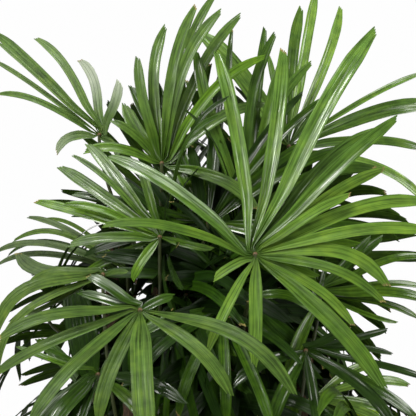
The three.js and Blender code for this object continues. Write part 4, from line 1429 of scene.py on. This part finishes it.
def make_floor(radius):
    mesh = bpy.data.meshes.new("floor")
    rim = [(radius * math.cos(a), radius * math.sin(a), -FLOOR_DROP) for a in turns(FLOOR_SIDES)]
    mesh.from_pydata(rim, [], [list(range(FLOOR_SIDES))])
    material, _, sockets = principled("floor", Roughness=0.8, Specular_IOR_Level=0.2)
    sockets["Base Color"].default_value = FLOOR_COLOUR
    mesh.materials.append(material)
    floor = bpy.data.objects.new("floor", mesh)
    bpy.context.scene.collection.objects.link(floor)


def make_surround(strength):
    """A dim white sky that the camera sees as a bright blank background."""
    world = bpy.data.worlds.new("surround")
    bpy.context.scene.world = world
    world.use_nodes = True
    world.node_tree.nodes.clear()
    wire = Wiring(world.node_tree)
    lit = wire.node("ShaderNodeBackground", {"Color": SKY_COLOUR, "Strength": strength})
    seen = wire.node("ShaderNodeBackground", {"Color": (1, 1, 1, 1), "Strength": BACKGROUND})
    path = wire.node("ShaderNodeLightPath")
    both = wire.node("ShaderNodeMixShader", {
        0: path.outputs["Is Camera Ray"], 1: lit.outputs[0], 2: seen.outputs[0]})
    wire.node("ShaderNodeOutputWorld", {"Surface": both.outputs[0]})


def area_light(name, place, width, height, power):
    data = bpy.data.lights.new(name, "AREA")
    data.shape = "RECTANGLE"
    data.energy = power
    data.color = LIGHT_COLOUR
    data.size = width
    data.size_y = height
    lamp = bpy.data.objects.new(name, data)
    way = np.array(LIGHTS_AIM, float) - np.array(place, float)
    down = math.acos(-way[2] / np.linalg.norm(way))
    lamp.location = place
    lamp.rotation_euler = (down, 0, math.atan2(way[1], way[0]) - math.pi / 2)
    bpy.context.scene.collection.objects.link(lamp)


def make_camera():
    data = bpy.data.cameras.new("camera")
    data.sensor_width = SENSOR
    data.lens = SENSOR / 2 * CAMERA_DISTANCE / HALF_VIEW
    camera = bpy.data.objects.new("camera", data)
    down = math.radians(CAMERA_DOWN)
    over = CAMERA_DISTANCE * math.sin(down)
    camera.location = (0, -CAMERA_DISTANCE * math.cos(down), CAMERA_TARGET + over)
    camera.rotation_euler = (math.pi / 2 - down, 0, 0)
    bpy.context.scene.collection.objects.link(camera)
    bpy.context.scene.camera = camera


class LADYPALM_OT_stage(bpy.types.Operator):
    """Set up the floor, the soft studio light and the camera"""

    bl_idname = "lady_palm.stage"
    bl_label = "Stage"

    def execute(self, context):
        stage = context.scene.palm_stage
        make_floor(stage.floor_radius)
        make_surround(stage.sky)
        for name, (place, width, height) in LIGHTS.items():
            area_light(name, place, width, height, getattr(stage, f"{name}_power"))
        make_camera()
        context.scene.view_settings.view_transform = "Standard"
        context.scene.view_settings.look = "None"
        return {"FINISHED"}


class LADYPALM_PT_panel(bpy.types.Panel):
    """The palm's operators and settings"""

    bl_label = "Lady palm"
    bl_idname = "LADYPALM_PT_panel"
    bl_space_type = "VIEW_3D"
    bl_region_type = "UI"
    bl_category = "Lady palm"

    def draw(self, context):
        for operator in OPERATORS:
            self.layout.operator(operator.bl_idname)
        for group in SETTINGS:
            settings = getattr(context.scene, group)
            for key in settings.bl_rna.properties.keys():
                if key not in ("rna_type", "name"):
                    self.layout.prop(settings, key)


SETTINGS = {"palm_sizes": PalmSizes, "palm_colours": PalmColours, "palm_stage": PalmStage}
OPERATORS = (LADYPALM_OT_finishes, LADYPALM_OT_root_crown, LADYPALM_OT_canes, LADYPALM_OT_leaves,
             LADYPALM_OT_stage)
CLASSES = (*SETTINGS.values(), *OPERATORS, LADYPALM_PT_panel)


def register():
    for made in CLASSES:
        bpy.utils.register_class(made)
    for name, group in SETTINGS.items():
        setattr(bpy.types.Scene, name, bpy.props.PointerProperty(type=group))


def unregister():
    for name in SETTINGS:
        delattr(bpy.types.Scene, name)
    for made in reversed(CLASSES):
        bpy.utils.unregister_class(made)


def main():
    register()
    bpy.ops.lady_palm.finishes()
    bpy.ops.lady_palm.root_crown()
    bpy.ops.lady_palm.canes()
    bpy.ops.lady_palm.leaves()
    bpy.ops.lady_palm.stage()
    bpy.context.view_layer.update()


if __name__ == "__main__":
    main()
